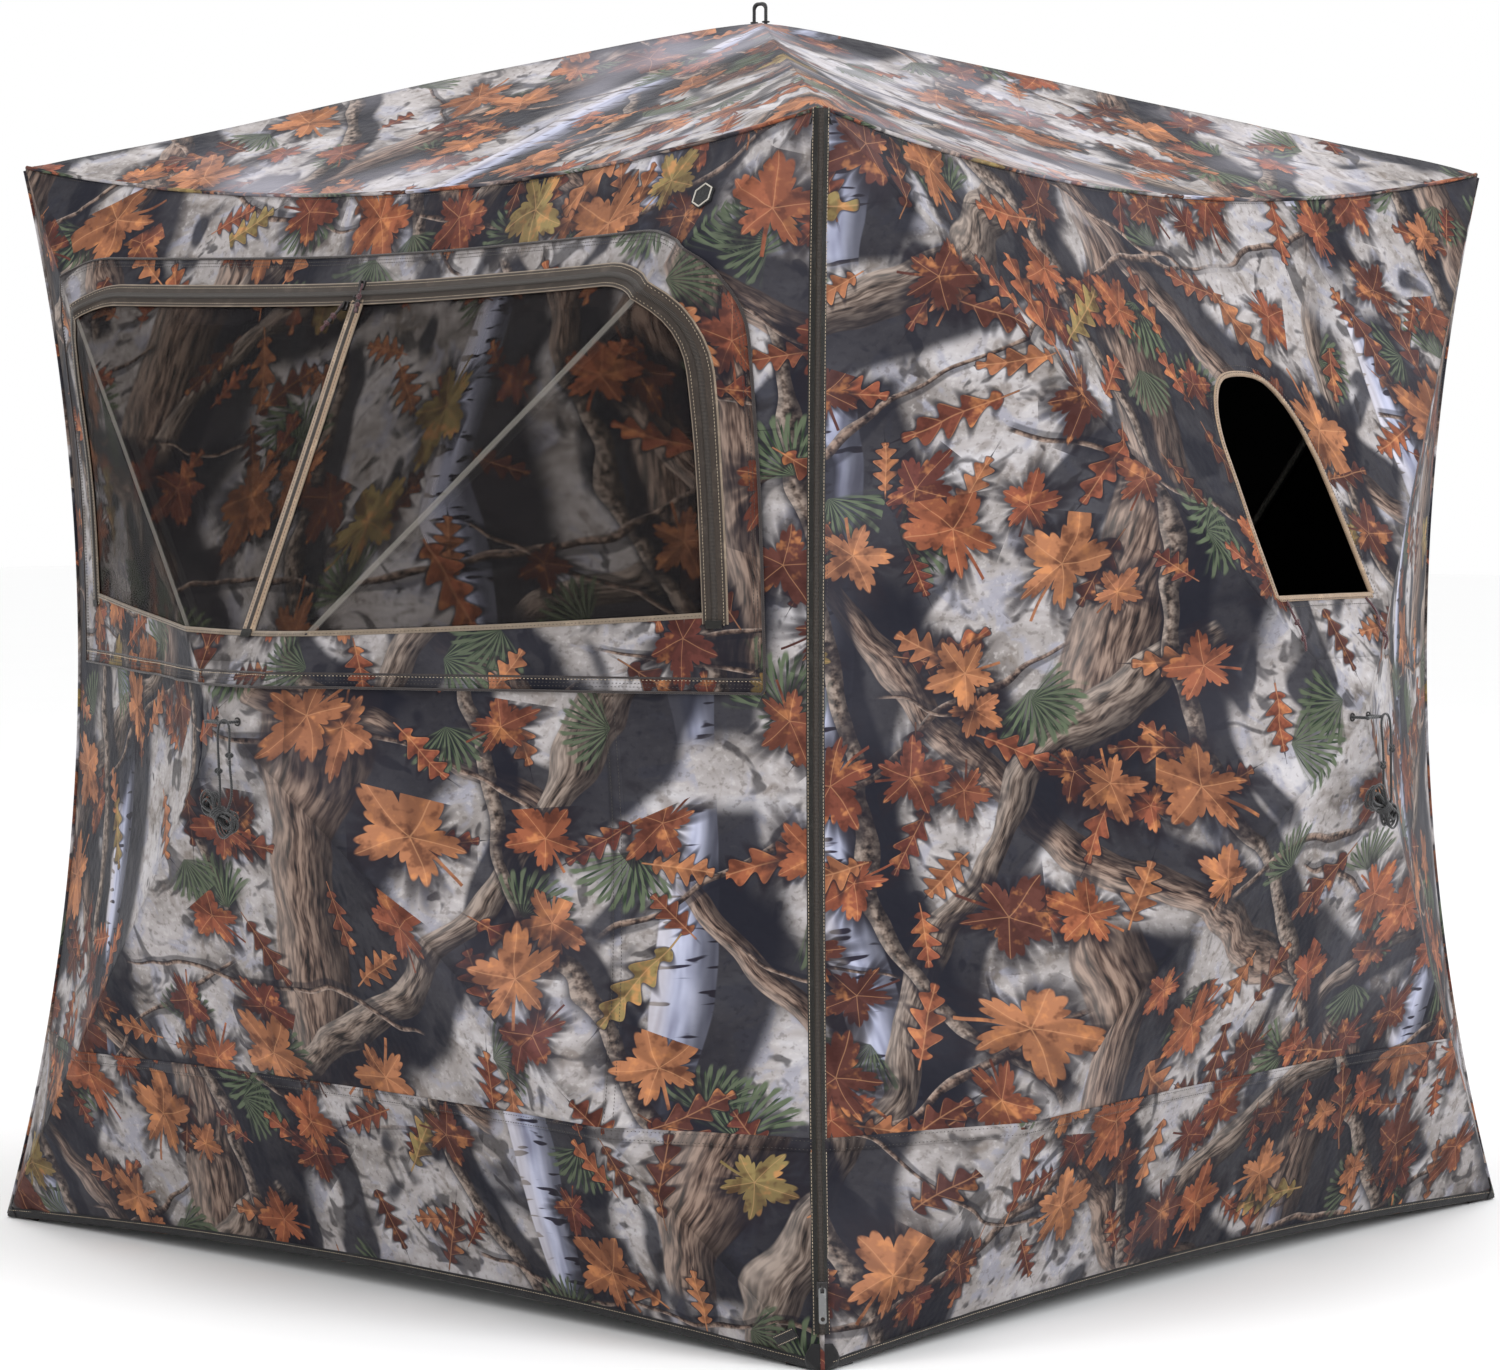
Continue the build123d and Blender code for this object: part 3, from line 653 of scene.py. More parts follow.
    def needles(col, scale, off, size, gate, tint, tint2):
        """Sprays of pine needles, each fanned out from one point."""
        lx, ly, r_, g_, b_ = cells(scale, 0.75, off)
        lx, ly = t.rot(lx, ly, t.m("MULTIPLY", r_, 6.2832))
        lx = t.m("ADD", lx, size * 0.45)
        r = t.m("SQRT", t.m("ADD", t.m("MULTIPLY", lx, lx), t.m("MULTIPLY", ly, ly)))
        th = t.m("ARCTAN2", ly, lx)
        saw = t.m("ABSOLUTE", t.m("SINE", t.m("ADD", t.m("MULTIPLY", th, 21.0), t.m("MULTIPLY", wx, 9.0))))
        saw2 = t.m("ABSOLUTE", t.m("SINE", t.m("ADD", t.m("MULTIPLY", th, 13.0), t.m("MULTIPLY", r, 60.0))))
        fan = t.ss(t.m("ABSOLUTE", th), 1.35, 1.05)
        on = t.m("MULTIPLY", t.m("GREATER_THAN", g_, gate), fan)
        ends = t.m("ADD", size, t.m("MULTIPLY", saw2, size * 0.22))
        inside_ = t.ss(t.m("DIVIDE", r, ends), 1.0, 0.9)
        mask = t.m("MULTIPLY", t.m("MULTIPLY", t.ss(t.m("MAXIMUM", saw, t.m("MULTIPLY", saw2, 0.93)), 0.74, 0.90), inside_), on)
        shade = t.m("MULTIPLY", t.m("MULTIPLY", t.ss(t.m("DIVIDE", r, ends), 1.05, 0.5), on), 0.72)
        c = t.mix(t.ss(saw2, 0.2, 0.9), tint, tint2)
        return t.mix(mask, t.mix(shade, col, srgb(36, 38, 36)), c)

    col = needles(col, 4.1, (1.3, 4.4, 0), 0.062, 0.46, srgb(44, 56, 40), srgb(88, 97, 73))
    col = needles(col, 4.9, (7.3, 2.4, 0), 0.050, 0.52, srgb(42, 53, 39), srgb(84, 91, 70))

    height = t.m("MULTIPLY", n3, 0.2)

    blotch = t.noise(vec, 34.0, 3.0, 0.62)

    def leaves(col, height, scale, rnd, off, size, gate, shape, pal):
        lx, ly, r_, g_, b_ = cells(scale, rnd, off)
        sz = t.m("MULTIPLY", size, t.ss(b_, 0.0, 1.0, 0.70, 1.22))
        lx, ly = t.rot(lx, ly, t.m("MULTIPLY", r_, 6.2832))
        lx, ly = t.m("DIVIDE", lx, sz), t.m("DIVIDE", ly, sz)
        # seen askew, curled, and never quite even at the edge
        lx = t.m("ADD", lx, t.m("MULTIPLY", wx, 0.9))
        ly = t.m("MULTIPLY", t.m("ADD", ly, t.m("MULTIPLY", wy, 0.9)), t.ss(b_, 0.0, 1.0, 1.0, 1.45))
        r = t.m("SQRT", t.m("ADD", t.m("MULTIPLY", lx, lx), t.m("MULTIPLY", ly, ly)))
        th = t.m("ARCTAN2", ly, lx)
        if shape == "maple":
            c1 = t.m("POWER", t.m("ABSOLUTE", t.m("COSINE", t.m("MULTIPLY", th, 2.5))), 1.7)
            c2 = t.m("ABSOLUTE", t.m("COSINE", t.m("MULTIPLY", th, 12.5)))
            c3 = t.m("COSINE", th)
            R = t.m("ADD", 0.40, t.m("ADD", t.m("MULTIPLY", c1, 0.44), t.m("ADD", t.m("MULTIPLY", c2, 0.15), t.m("MULTIPLY", c3, 0.14))))
            rr = t.m("DIVIDE", r, R)
            vein = t.ss(t.m("MULTIPLY", t.m("ABSOLUTE", t.m("SINE", t.m("MULTIPLY", th, 2.5))), r), 0.035, 0.010)
            fold = t.m("MULTIPLY", t.m("SINE", t.m("MULTIPLY", th, 5.0)), 1.0)
            stem = t.m("MULTIPLY", t.ss(t.m("ABSOLUTE", t.m("ADD", ly, t.m("MULTIPLY", lx, 0.12))), 0.045, 0.025), t.m("MULTIPLY", t.m("LESS_THAN", lx, 0.0), t.m("GREATER_THAN", lx, -1.0)))
        else:
            lobes = t.m("ADD", 0.64, t.m("MULTIPLY", t.m("COSINE", t.m("SUBTRACT", t.m("MULTIPLY", lx, 13.0), t.m("MULTIPLY", t.m("ABSOLUTE", ly), 5.0))), 0.36))
            taper = t.m("SQRT", t.m("MAXIMUM", t.m("SUBTRACT", 1.0, t.m("MULTIPLY", lx, lx)), 0.002))
            W = t.m("MULTIPLY", t.m("MULTIPLY", lobes, taper), 0.56)
            rr = t.m("MAXIMUM", t.m("DIVIDE", t.m("ABSOLUTE", ly), W), t.m("ABSOLUTE", lx))
            v1 = t.ss(t.m("ABSOLUTE", ly), 0.030, 0.010)
            v2 = t.ss(t.m("ABSOLUTE", t.m("SUBTRACT", t.m("FRACT", t.m("MULTIPLY", t.m("SUBTRACT", lx, t.m("MULTIPLY", t.m("ABSOLUTE", ly), 0.8)), 2.07)), 0.5)), 0.05, 0.02)
            vein = t.m("MAXIMUM", v1, t.m("MULTIPLY", v2, 0.6))
            fold = t.m("SINE", t.m("MULTIPLY", t.m("SUBTRACT", lx, t.m("MULTIPLY", t.m("ABSOLUTE", ly), 0.8)), 13.0))
            stem = t.m("MULTIPLY", t.ss(t.m("ABSOLUTE", ly), 0.040, 0.022), t.m("MULTIPLY", t.m("LESS_THAN", lx, 0.0), t.m("GREATER_THAN", lx, -1.3)))
        on = t.m("GREATER_THAN", g_, gate)
        mask = t.m("MULTIPLY", t.m("MAXIMUM", t.ss(rr, 1.0, 0.93), stem), on)
        # the shade a leaf casts lies all round it
        shade = t.m("MULTIPLY", t.m("MULTIPLY", t.ss(rr, 1.75, 0.95), on), 0.85)
        pick = t.m("FRACT", t.m("MULTIPLY", t.m("ADD", r_, g_), 7.31))
        c = t.ramp(pick, pal, "CONSTANT")
        c = t.mix(t.ss(blotch, 0.50, 0.64, 0, 0.62), c, srgb(66, 34, 27))
        c = t.mix(t.ss(blotch, 0.46, 0.33, 0, 0.50), c, srgb(214, 142, 86))
        c = t.mix(t.ss(fold, -0.2, 1.0, 0.0, 0.38), c, srgb(48, 24, 22))
        c = t.mix(t.ss(ly, 0.05, -0.08, 0.0, 0.34), c, srgb(44, 22, 20))
        c = t.mix(t.m("MULTIPLY", vein, 0.26), c, srgb(216, 160, 112))
        h = t.mix(mask, t.comb(height, height, height), (0.55, 0.55, 0.55))
        hx, _, _ = t.sep(h)
        return t.mix(mask, t.mix(shade, col, srgb(32, 28, 33)), c), hx

    rust = [(0.0, srgb(147, 85, 57)), (0.20, srgb(111, 61, 46)), (0.38, srgb(165, 109, 74)), (0.56, srgb(90, 53, 44)), (0.74, srgb(145, 93, 63)), (0.91, srgb(137, 118, 73))]
    deep = [(0.0, srgb(98, 53, 44)), (0.25, srgb(137, 77, 55)), (0.50, srgb(78, 47, 41)), (0.68, srgb(159, 103, 71)), (0.85, srgb(118, 69, 51))]
    col, height = leaves(col, height, 9.0, 0.85, (2.2, 3.3, 0), 0.041, 0.55, "oak", deep)
    col, height = leaves(col, height, 8.2, 0.85, (6.2, 9.3, 0), 0.048, 0.56, "maple", deep)
    col, height = leaves(col, height, 7.3, 0.80, (5.7, 8.1, 0), 0.051, 0.56, "oak", rust)
    col, height = leaves(col, height, 6.6, 0.80, (8.9, 1.7, 0), 0.065, 0.46, "maple", rust)
    t.put(go.inputs[0], col)
    t.put(go.inputs[1], height)
    return g


PRINT = build_print()
M = {}


def material(name):
    m = bpy.data.materials.new(name)
    m.use_nodes = True
    m.node_tree.nodes.clear()
    t = Tree(m.node_tree)
    out = t.new("ShaderNodeOutputMaterial")
    M[name] = m
    return m, t, out


def principled(t, out, base, rough, metal=0.0, normal=None, sheen=0.0, coat=0.0, spec=0.5, sheen_tint=(1, 1, 1)):
    b = t.new("ShaderNodeBsdfPrincipled")
    t.put(b.inputs["Base Color"], base if isinstance(base, bpy.types.NodeSocket) else (*base, 1.0))
    t.put(b.inputs["Roughness"], rough)
    t.put(b.inputs["Metallic"], metal)
    t.put(b.inputs["Specular IOR Level"], spec)
    if sheen:
        t.put(b.inputs["Sheen Weight"], sheen)
        t.put(b.inputs["Sheen Roughness"], 0.5)
        b.inputs["Sheen Tint"].default_value = (*sheen_tint, 1.0)
    if coat:
        t.put(b.inputs["Coat Weight"], coat)
        t.put(b.inputs["Coat Roughness"], 0.2)
    if normal is not None:
        t.put(b.inputs["Normal"], normal)
    if out is not None:
        t.t.links.new(b.outputs[0], out.inputs[0])
    return b


def bump(t, height, strength, dist, normal=None):
    n = t.new("ShaderNodeBump")
    t.put(n.inputs["Strength"], strength)
    t.put(n.inputs["Distance"], dist)
    t.put(n.inputs["Height"], height)
    if normal is not None:
        t.put(n.inputs["Normal"], normal)
    return n.outputs[0]


def uvmap(t):
    n = t.new("ShaderNodeUVMap")
    n.uv_map = "cut"
    return n.outputs[0]


def weave(t, uv, pitch):
    x, y, _ = t.sep(uv)
    a = t.m("SINE", t.m("MULTIPLY", x, 6.2832 / pitch))
    b = t.m("SINE", t.m("MULTIPLY", y, 6.2832 / pitch))
    return t.m("MULTIPLY", a, b)


def camo(name, shift=(0.0, 0.0), bright=1.0, painted_haze=0.0, rough=0.62):
    m, t, out = material(name)
    uv = uvmap(t)
    g = t.new("ShaderNodeGroup")
    g.node_tree = PRINT
    t.put(g.inputs[0], t.vm("ADD", uv, (shift[0], shift[1], 0.0)))
    col = g.outputs[0]
    # handling marks and dust, broad and faint, and a painted haze of light: strong on the roof's copy, faint on the
    # border's
    dust_and_painted_haze = t.noise(uv, 3.2, 2.0, 0.6)
    col = t.mix(t.ss(dust_and_painted_haze, 0.45, 0.75, 0.0, 0.035 + painted_haze), col, srgb(204, 198, 202))
    # painted light: the roof's copy is made lighter for the light falling on its top, the skirt's and border's copies
    # are made darker, and every copy gets a cool cast painted in for the bluish light
    col = t.mix(1.0, col, (bright * 0.97, bright, bright * 1.10), "MULTIPLY")
    crumple = t.noise(uv, 16.0, 3.0, 0.6)
    nrm = bump(t, crumple, 0.60, 0.013)
    nrm = bump(t, weave(t, uv, 0.0011), 0.25, 0.00012, nrm)
    principled(t, out, col, rough, normal=nrm, sheen=0.03, spec=0.08)
    return m


camo("camo")
camo("camo_low", (0.7, 0.4), 0.93)
# the roof's copy is painted lighter and hazier, for the light falling on its top
camo("camo_roof", (1.9, 2.3), 1.12, 0.30, 0.52)
camo("camo_border", (3.4, 5.6), 0.86, 0.02)

# dull black coating on the inside
m, t, out = material("liner")
uv = uvmap(t)
n = t.noise(uv, 30.0, 4.0, 0.6)
principled(t, out, t.ramp(n, [(0.3, srgb(16, 16, 18)), (0.7, srgb(30, 29, 31))]), t.ss(n, 0.3, 0.7, 0.5, 0.68), normal=bump(t, n, 0.4, 0.003), spec=0.3)

# see-through window mesh carrying the same print, with painted shade: its colour is darkened to stand for the dark
# inside behind it
m, t, out = material("mesh")
uv = uvmap(t)
g = t.new("ShaderNodeGroup")
g.node_tree = PRINT
t.put(g.inputs[0], t.vm("ADD", uv, (4.9, 3.1, 0.0)))
# painted shade: the print darkened for the dark inside seen through the mesh
col = t.mix(1.0, g.outputs[0], (0.27, 0.265, 0.28), "MULTIPLY")
col = t.mix(0.02, col, srgb(150, 140, 134))
# painted highlight: a pale line painted where the pole behind the mesh catches the light
ux, uy, _ = t.sep(uv)
px_, py_ = t.m("ABSOLUTE", t.m("SUBTRACT", ux, 0.31)), t.m("SUBTRACT", uy, 0.05 + HZ)
rl_ = math.hypot(AT, H - HZ)
dist = t.m("ABSOLUTE", t.m("SUBTRACT", t.m("MULTIPLY", px_, (H - HZ) / rl_), t.m("MULTIPLY", py_, AT / rl_)))
col = t.mix(t.ss(dist, 0.0052, 0.0022, 0, 0.42), col, srgb(176, 170, 162))
crumple = t.noise(uv, 12.0, 3.0, 0.5, 0.3)
nrm = bump(t, crumple, 0.4, 0.008)
nrm = bump(t, weave(t, uv, 0.0016), 0.2, 0.0002, nrm)
b = principled(t, None, col, 0.7, normal=nrm, spec=0.08)
tr = t.new("ShaderNodeBsdfTransparent")
mx = t.new("ShaderNodeMixShader")
mx.inputs[0].default_value = 0.70
t.t.links.new(tr.outputs[0], mx.inputs[1])
t.t.links.new(b.outputs[0], mx.inputs[2])
t.t.links.new(mx.outputs[0], out.inputs[0])


def woven(name, dark, light, pitch=0.0012, rough=0.75, sheen=0.25):
    m, t, out = material(name)
    uv = uvmap(t)
    x, y, _ = t.sep(uv)
    w = t.m("MULTIPLY", t.m("SINE", t.m("MULTIPLY", x, 6.2832 / pitch)), t.m("SINE", t.m("MULTIPLY", t.m("ADD", y, t.m("MULTIPLY", x, 0.5)), 6.2832 / pitch)))
    wear = t.noise(uv, 45.0, 4.0, 0.65)
    col = t.mix(t.ss(w, -0.6, 0.9), dark, light)
    col = t.mix(t.ss(wear, 0.5, 0.72, 0, 0.35), col, tuple(min(1.0, c * 1.9 + 0.02) for c in light))
    nrm = bump(t, w, 0.6, 0.0003)
    nrm = bump(t, wear, 0.4, 0.0012, nrm)
    principled(t, out, col, rough, normal=nrm, sheen=sheen, spec=0.3)
    return m


woven("webbing", srgb(14, 13, 15), srgb(32, 31, 33), sheen=0.08)
woven("binding_tan", srgb(128, 104, 84), srgb(176, 152, 126))
woven("tape", srgb(40, 33, 29), srgb(68, 58, 50), sheen=0.08)
woven("tape_dark", srgb(18, 17, 15), srgb(34, 32, 28), sheen=0.08)
woven("tape_edge", srgb(108, 95, 81), srgb(144, 128, 110))
woven("seam_dark", srgb(34, 28, 28), srgb(62, 54, 52))


def coil(name, dark, light):
    m, t, out = material(name)
    uv = uvmap(t)
    x, y, _ = t.sep(uv)
    w = t.m("SINE", t.m("MULTIPLY", x, 6.2832 / 0.0016))
    col = t.mix(t.ss(w, -0.3, 0.8), dark, light)
    principled(t, out, col, 0.38, normal=bump(t, w, 0.9, 0.0006), spec=0.5)
    return m


coil("coil", srgb(24, 20, 18), srgb(74, 64, 56))

m, t, out = material("thread")
uv = uvmap(t)
n = t.noise(uv, 700.0, 2.0)
principled(t, out, t.ramp(n, [(0.3, srgb(30, 26, 24)), (0.7, srgb(58, 50, 46))]), 0.6, sheen=0.3)
m, t, out = material("thread_tan")
uv = uvmap(t)
n = t.noise(uv, 700.0, 2.0)
principled(t, out, t.ramp(n, [(0.3, srgb(150, 132, 112)), (0.7, srgb(192, 176, 152))]), 0.6, sheen=0.3)


def local(t):
    n = t.new("ShaderNodeTexCoord")
    return n.outputs["Object"]


def braid(name, dark, light, pitch=0.0028, rough=0.55):
    m, t, out = material(name)
    p = local(t)
    x, y, z = t.sep(p)
    a = t.m("SINE", t.m("MULTIPLY", t.m("ADD", t.m("ADD", x, z), t.m("MULTIPLY", y, 0.7)), 6.2832 / pitch))
    b_ = t.m("SINE", t.m("MULTIPLY", t.m("SUBTRACT", t.m("SUBTRACT", x, z), t.m("MULTIPLY", y, 0.7)), 6.2832 / pitch))
    w = t.m("MAXIMUM", a, b_)
    fuzz = t.noise(p, 500.0, 2.0, 0.6)
    col = t.mix(t.ss(w, -0.1, 0.9), dark, light)
    col = t.mix(t.ss(fuzz, 0.5, 0.7, 0, 0.3), col, tuple(min(1.0, c * 2 + 0.03) for c in light))
    principled(t, out, col, rough, normal=bump(t, w, 0.7, 0.0005), sheen=0.3, spec=0.4)
    return m


braid("cord_black", srgb(12, 12, 13), srgb(38, 38, 40))
braid("cord_maroon", srgb(36, 16, 20), srgb(84, 40, 46))


def metal(name, base, rough, wear=0.5):
    m, t, out = material(name)
    p = local(t)
    n = t.noise(p, 220.0, 4.0, 0.6)
    s = t.noise(t.vm("MULTIPLY", p, (1.0, 1.0, 6.0)), 300.0, 3.0, 0.7)
    col = t.mix(t.ss(n, 0.5, 0.72, 0, wear), base, tuple(min(1.0, c * 1.5 + 0.1) for c in base))
    principled(t, out, col, t.ss(s, 0.3, 0.7, rough * 0.75, rough * 1.3), metal=1.0, normal=bump(t, s, 0.15, 0.0003))
    return m


metal("metal_pull", srgb(122, 122, 122), 0.42)
metal("metal_dark", srgb(62, 60, 60), 0.36, 0.35)
metal("steel", srgb(190, 190, 188), 0.28)


def plastic(name, base, rough, coat=0.0):
    m, t, out = material(name)
    p = local(t)
    n = t.noise(p, 380.0, 3.0, 0.6)
    w = t.noise(p, 40.0, 4.0, 0.6)
    col = t.mix(t.ss(w, 0.5, 0.75, 0, 0.3), base, tuple(min(1.0, c * 1.7 + 0.02) for c in base))
    principled(t, out, col, t.ss(n, 0.3, 0.7, rough * 0.85, min(1.0, rough * 1.2)), normal=bump(t, n, 0.2, 0.0004), coat=coat)
    return m


plastic("hub_plastic", srgb(30, 30, 32), 0.48)
plastic("rubber", srgb(28, 28, 29), 0.75)
plastic("badge_rim", srgb(176, 170, 160), 0.5)


def pole_material(name, pin, d, length):
    """Fibreglass rod between a steel ferrule and a rubber tip, told apart by the distance from the hub."""
    m, t, out = material(name)
    p = local(t)
    k = t.vm("DOT_PRODUCT", t.vm("SUBTRACT", p, tuple(pin)), tuple(d))
    fib = t.noise(t.vm("MULTIPLY", p, (30.0, 30.0, 30.0)), 9.0, 3.0, 0.6)
    rod = t.mix(t.ss(fib, 0.35, 0.65), srgb(150, 146, 136), srgb(186, 182, 170))
    fer = t.m("MULTIPLY", t.m("GREATER_THAN", k, 0.0135), t.m("LESS_THAN", k, 0.0585))
    tip = t.m("GREATER_THAN", k, length - 0.0385)
    eye = t.m("LESS_THAN", k, 0.0135)
    dark = t.m("MAXIMUM", tip, eye)
    col = t.mix(fer, rod, srgb(176, 176, 174))
    col = t.mix(dark, col, srgb(26, 26, 28))
    s = t.noise(p, 260.0, 3.0, 0.6)
    rough = t.m("ADD", t.m("MULTIPLY", dark, 0.35), t.ss(s, 0.3, 0.7, 0.24, 0.4))
    principled(t, out, col, rough, metal=fer, normal=bump(t, fib, 0.25, 0.0006), coat=0.3)
    return m


# ground the blind stands on
m, t, out = material("floor")
p = local(t)
n = t.noise(p, 2.0, 3.0)
principled(t, out, t.ramp(n, [(0.0, (0.965, 0.965, 0.965)), (1.0, (0.98, 0.98, 0.98))]), 0.9, spec=0.1)



# ------------------------------------------------------------------ outlines on the front wall and the right wall
def arc_pts(cx, cz, r, a0, a1, n=10):
    return [(cx + r * math.cos(math.radians(a0 + (a1 - a0) * i / n)),
             cz + r * math.sin(math.radians(a0 + (a1 - a0) * i / n))) for i in range(n + 1)]


def window_outline(half, z0, z1, r, sag=0.0, dip=0.0):
    """Flat bottomed outline with round top corners; the top sags and the bottom dips at mid width."""
    pts = []
    n = 16
    if dip:
        for i in range(n + 1):
            x = -half + 2 * half * i / n
            pts.append((x, z0 + dip * (abs(x) / half) ** 1.5))
    else:
        pts = [(-half, z0), (half, z0)]
    pts += arc_pts(half - r, z1 - r, r, 0, 90)
    if sag:
        for i in range(1, n):
            x = (half - r) * (1 - 2 * i / n)
            pts.append((x, z1 - sag * (1 - (abs(x) / (half - r)) ** 1.6)))
    pts += arc_pts(-half + r, z1 - r, r, 90, 180)
    return pts


WIN_X, WIN_Z0, WIN_Z1 = 0.622, 0.786, 1.335
ZIP_X, ZIP_Z0, ZIP_Z1 = 0.568, 0.872, 1.284
ARCH_Z0, ARCH_Z1, ARCH_HALF = 0.893, 1.172, 0.107


def arch_outline(grow=0.0):
    h, z0, z1 = ARCH_HALF + grow, ARCH_Z0 - grow, ARCH_Z1 + grow
    base = [(h, z0), (h - .002, z0 + .09), (h - .006, z0 + .17), (h - .015, z0 + .214), (h - .033, z0 + .248), (h - .056, z1 - .008), (h - .084, z1)]
    # smooth the round top
    pts = np.array(base + [(-x, z) for x, z in base[::-1]])
    for _ in range(2):
        new = [pts[0]]
        for i in range(len(pts) - 1):
            a, b = pts[i], pts[i + 1]
            if i < 2 or i > len(pts) - 4:
                new.append(b)
            else:
                new += [a * 0.75 + b * 0.25, a * 0.25 + b * 0.75]
        pts = np.array(new)
    return [tuple(p) for p in pts]


# ------------------------------------------------------------------ wall and roof cloth
SKIRT = 0.255
SHIFTS = {"front": (0.31, 0.05), "right": (2.43, 0.61), "back": (4.1, 1.3), "left": (6.2, 2.2), "roof": (8.3, 3.7)}


def skirt_z(x):
    return 0.268 - 0.022 * np.abs(x) ** 2


def wall_ring(panel):
    return panel.ring2[::4]


for k, w in enumerate(WALLS):
    P = PANELS[w]
    ring = [tuple(p) for p in P.ring2[::3]]
    holes = []
    if w == "front":
        holes = [window_outline(0.528, 0.846, 1.246, 0.095, sag=0.010, dip=0.034)]
    if w == "right":
        holes = [arch_outline()]
    # upper cloth and skirt are two cuts of cloth that meet at a felled seam
    xs = np.linspace(-0.705, 0.705, 60)
    seam = [(x, float(skirt_z(x))) for x in xs]
    left = [p for p in ring if p[0] < -0.6]
    ring_np = np.array(ring)
    up_poly = [p for p in ring if p[1] > skirt_z(p[0])]
    lo_poly = [p for p in ring if p[1] <= skirt_z(p[0])]
    # order: the ring starts at the bottom left corner and runs right, up, left, down

    def edge_at(side):
        zs = P.edges[1][:, 1]
        xe = np.interp(0.258, zs, P.edges[1][:, 0])
        return side * float(xe), 0.258
    eR, eL = edge_at(1), edge_at(-1)
    seam_in = [(x, float(skirt_z(x))) for x in np.linspace(eL[0] + 0.01, eR[0] - 0.01, 70)]
    upper = [eR] + [p for p in ring[40:] if p[1] > 0.262] + [eL] + seam_in
    # rebuild the outline from the edges so that the order is sure
    e1 = [tuple(q[:2]) for q in P.edges[1][::3] if q[1] > 0.262]
    e2 = [tuple(q[:2]) for q in P.edges[2][::3]]
    e3 = [tuple(q[:2]) for q in P.edges[3][::3] if q[1] > 0.262]
    upper = [eR] + e1 + e2[1:] + e3[1:] + [eL] + seam_in
    b0 = [tuple(q[:2]) for q in P.edges[0][::3]]
    b1 = [tuple(q[:2]) for q in P.edges[1][::3] if q[1] < 0.254]
    b3 = [tuple(q[:2]) for q in P.edges[3][::3] if q[1] < 0.254]
    lower = b0 + b1[1:] + [eR] + seam_in[::-1] + [eL] + b3[:-1]
    sh = SHIFTS[w]
    obs = layer(P, f"cloth_{w}_upper", upper, holes, 0.0, 0.0006, [M["camo"], M["liner"]], 0.013, sh, sheet="stretched")
    obs += layer(P, f"cloth_{w}_skirt", lower, [], 0.0, 0.0006, [M["camo_low"], M["liner"]], 0.015, (sh[0] + 1.37, sh[1] + 0.9), sheet="stretched")
    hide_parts(f"wall_{w}_cloth")

P = ROOF
ring = []
for e in P.edges:
    ring += [tuple(q[:2]) for q in e[:-1:3]]
obs = layer(P, "cloth_roof", ring, [], 0.0, 0.0006, [M["camo_roof"], M["liner"]], 0.014, SHIFTS["roof"], sheet="stretched")
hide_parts("roof_cloth")

F, RW = PANELS["front"], PANELS["right"]


def tube(name, pts, r, mat, sides=10, body=None, uv_scale=1.0, caps=True):
    """A round cord or rolled seam along points in the row frame."""
    p = np.asarray(pts, float)
    d = np.gradient(p, axis=0)
    d /= np.linalg.norm(d, axis=1)[:, None]
    ref = np.array([0.0, 0.0, 1.0]) if abs(d[0, 2]) < 0.9 else np.array([1.0, 0.0, 0.0])
    n = np.cross(d[0], ref)
    n /= np.linalg.norm(n)
    s = np.concatenate([[0], np.cumsum(np.linalg.norm(np.diff(p, axis=0), axis=1))])
    rr = np.broadcast_to(np.asarray(r, float), (len(p),))
    V_, UV = [], []
    for i in range(len(p)):
        n = n - d[i] * np.dot(n, d[i])
        n /= np.linalg.norm(n)
        b = np.cross(d[i], n)
        for j in range(sides):
            a = 2 * math.pi * j / sides
            V_.append(p[i] + (n * math.cos(a) + b * math.sin(a)) * rr[i])
            UV.append((s[i] * uv_scale, a * rr[i]))
    Fs = []
    for i in range(len(p) - 1):
        for j in range(sides):
            k = (j + 1) % sides
            Fs.append((i * sides + j, i * sides + k, (i + 1) * sides + k, (i + 1) * sides + j))
    if caps:
        Fs.append(tuple(range(sides))[::-1])
        Fs.append(tuple((len(p) - 1) * sides + j for j in range(sides)))
    ob = new_mesh(name, V_, Fs, [mat], None, UV)
    if body:
        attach(ob, body)
    return ob


def cardinal(pts, n=12, closed=False):
    """Smooth line through the points."""
    p = np.asarray(pts, float)
    q = np.concatenate([[2 * p[0] - p[1]], p, [2 * p[-1] - p[-2]]])
    out = []
    for i in range(1, len(q) - 2):
        for t in np.linspace(0, 1, n, endpoint=False):
            a, b, c, d = q[i - 1], q[i], q[i + 1], q[i + 2]
            out.append(0.5 * (2 * b + (c - a) * t + (2 * a - 5 * b + 4 * c - d) * t * t + (3 * b - a - 3 * c + d) * t ** 3))
    out.append(q[-2])
    return np.array(out)


def length_of(p):
    return float(np.linalg.norm(np.diff(np.asarray(p, float), axis=0), axis=1).sum())


def band3d(name, P3, rows, mats, uv_s, body="shell", mat_of=None):
    """A strip from matching rows of points: rows is a list of (n,3) arrays."""
    m = len(rows)
    V_ = np.stack(rows, 1).reshape(-1, 3)
    n = len(rows[0])
    Fs, idx, UV = [], [], []
    acc = [0.0]
    for j in range(1, m):
        acc.append(acc[-1] + float(np.linalg.norm(rows[j][0] - rows[j - 1][0])))
    for i in range(n):
        for j in range(m):
            UV.append((uv_s[i], acc[j]))
    for i in range(n - 1):
        for j in range(m - 1):
            a = i * m + j
            Fs.append((a, a + 1, a + m + 1, a + m))
            idx.append(mat_of(j) if mat_of else 0)
    ob = new_mesh(name, V_, Fs, mats, idx, UV)
    if body:
        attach(ob, body)
    return ob


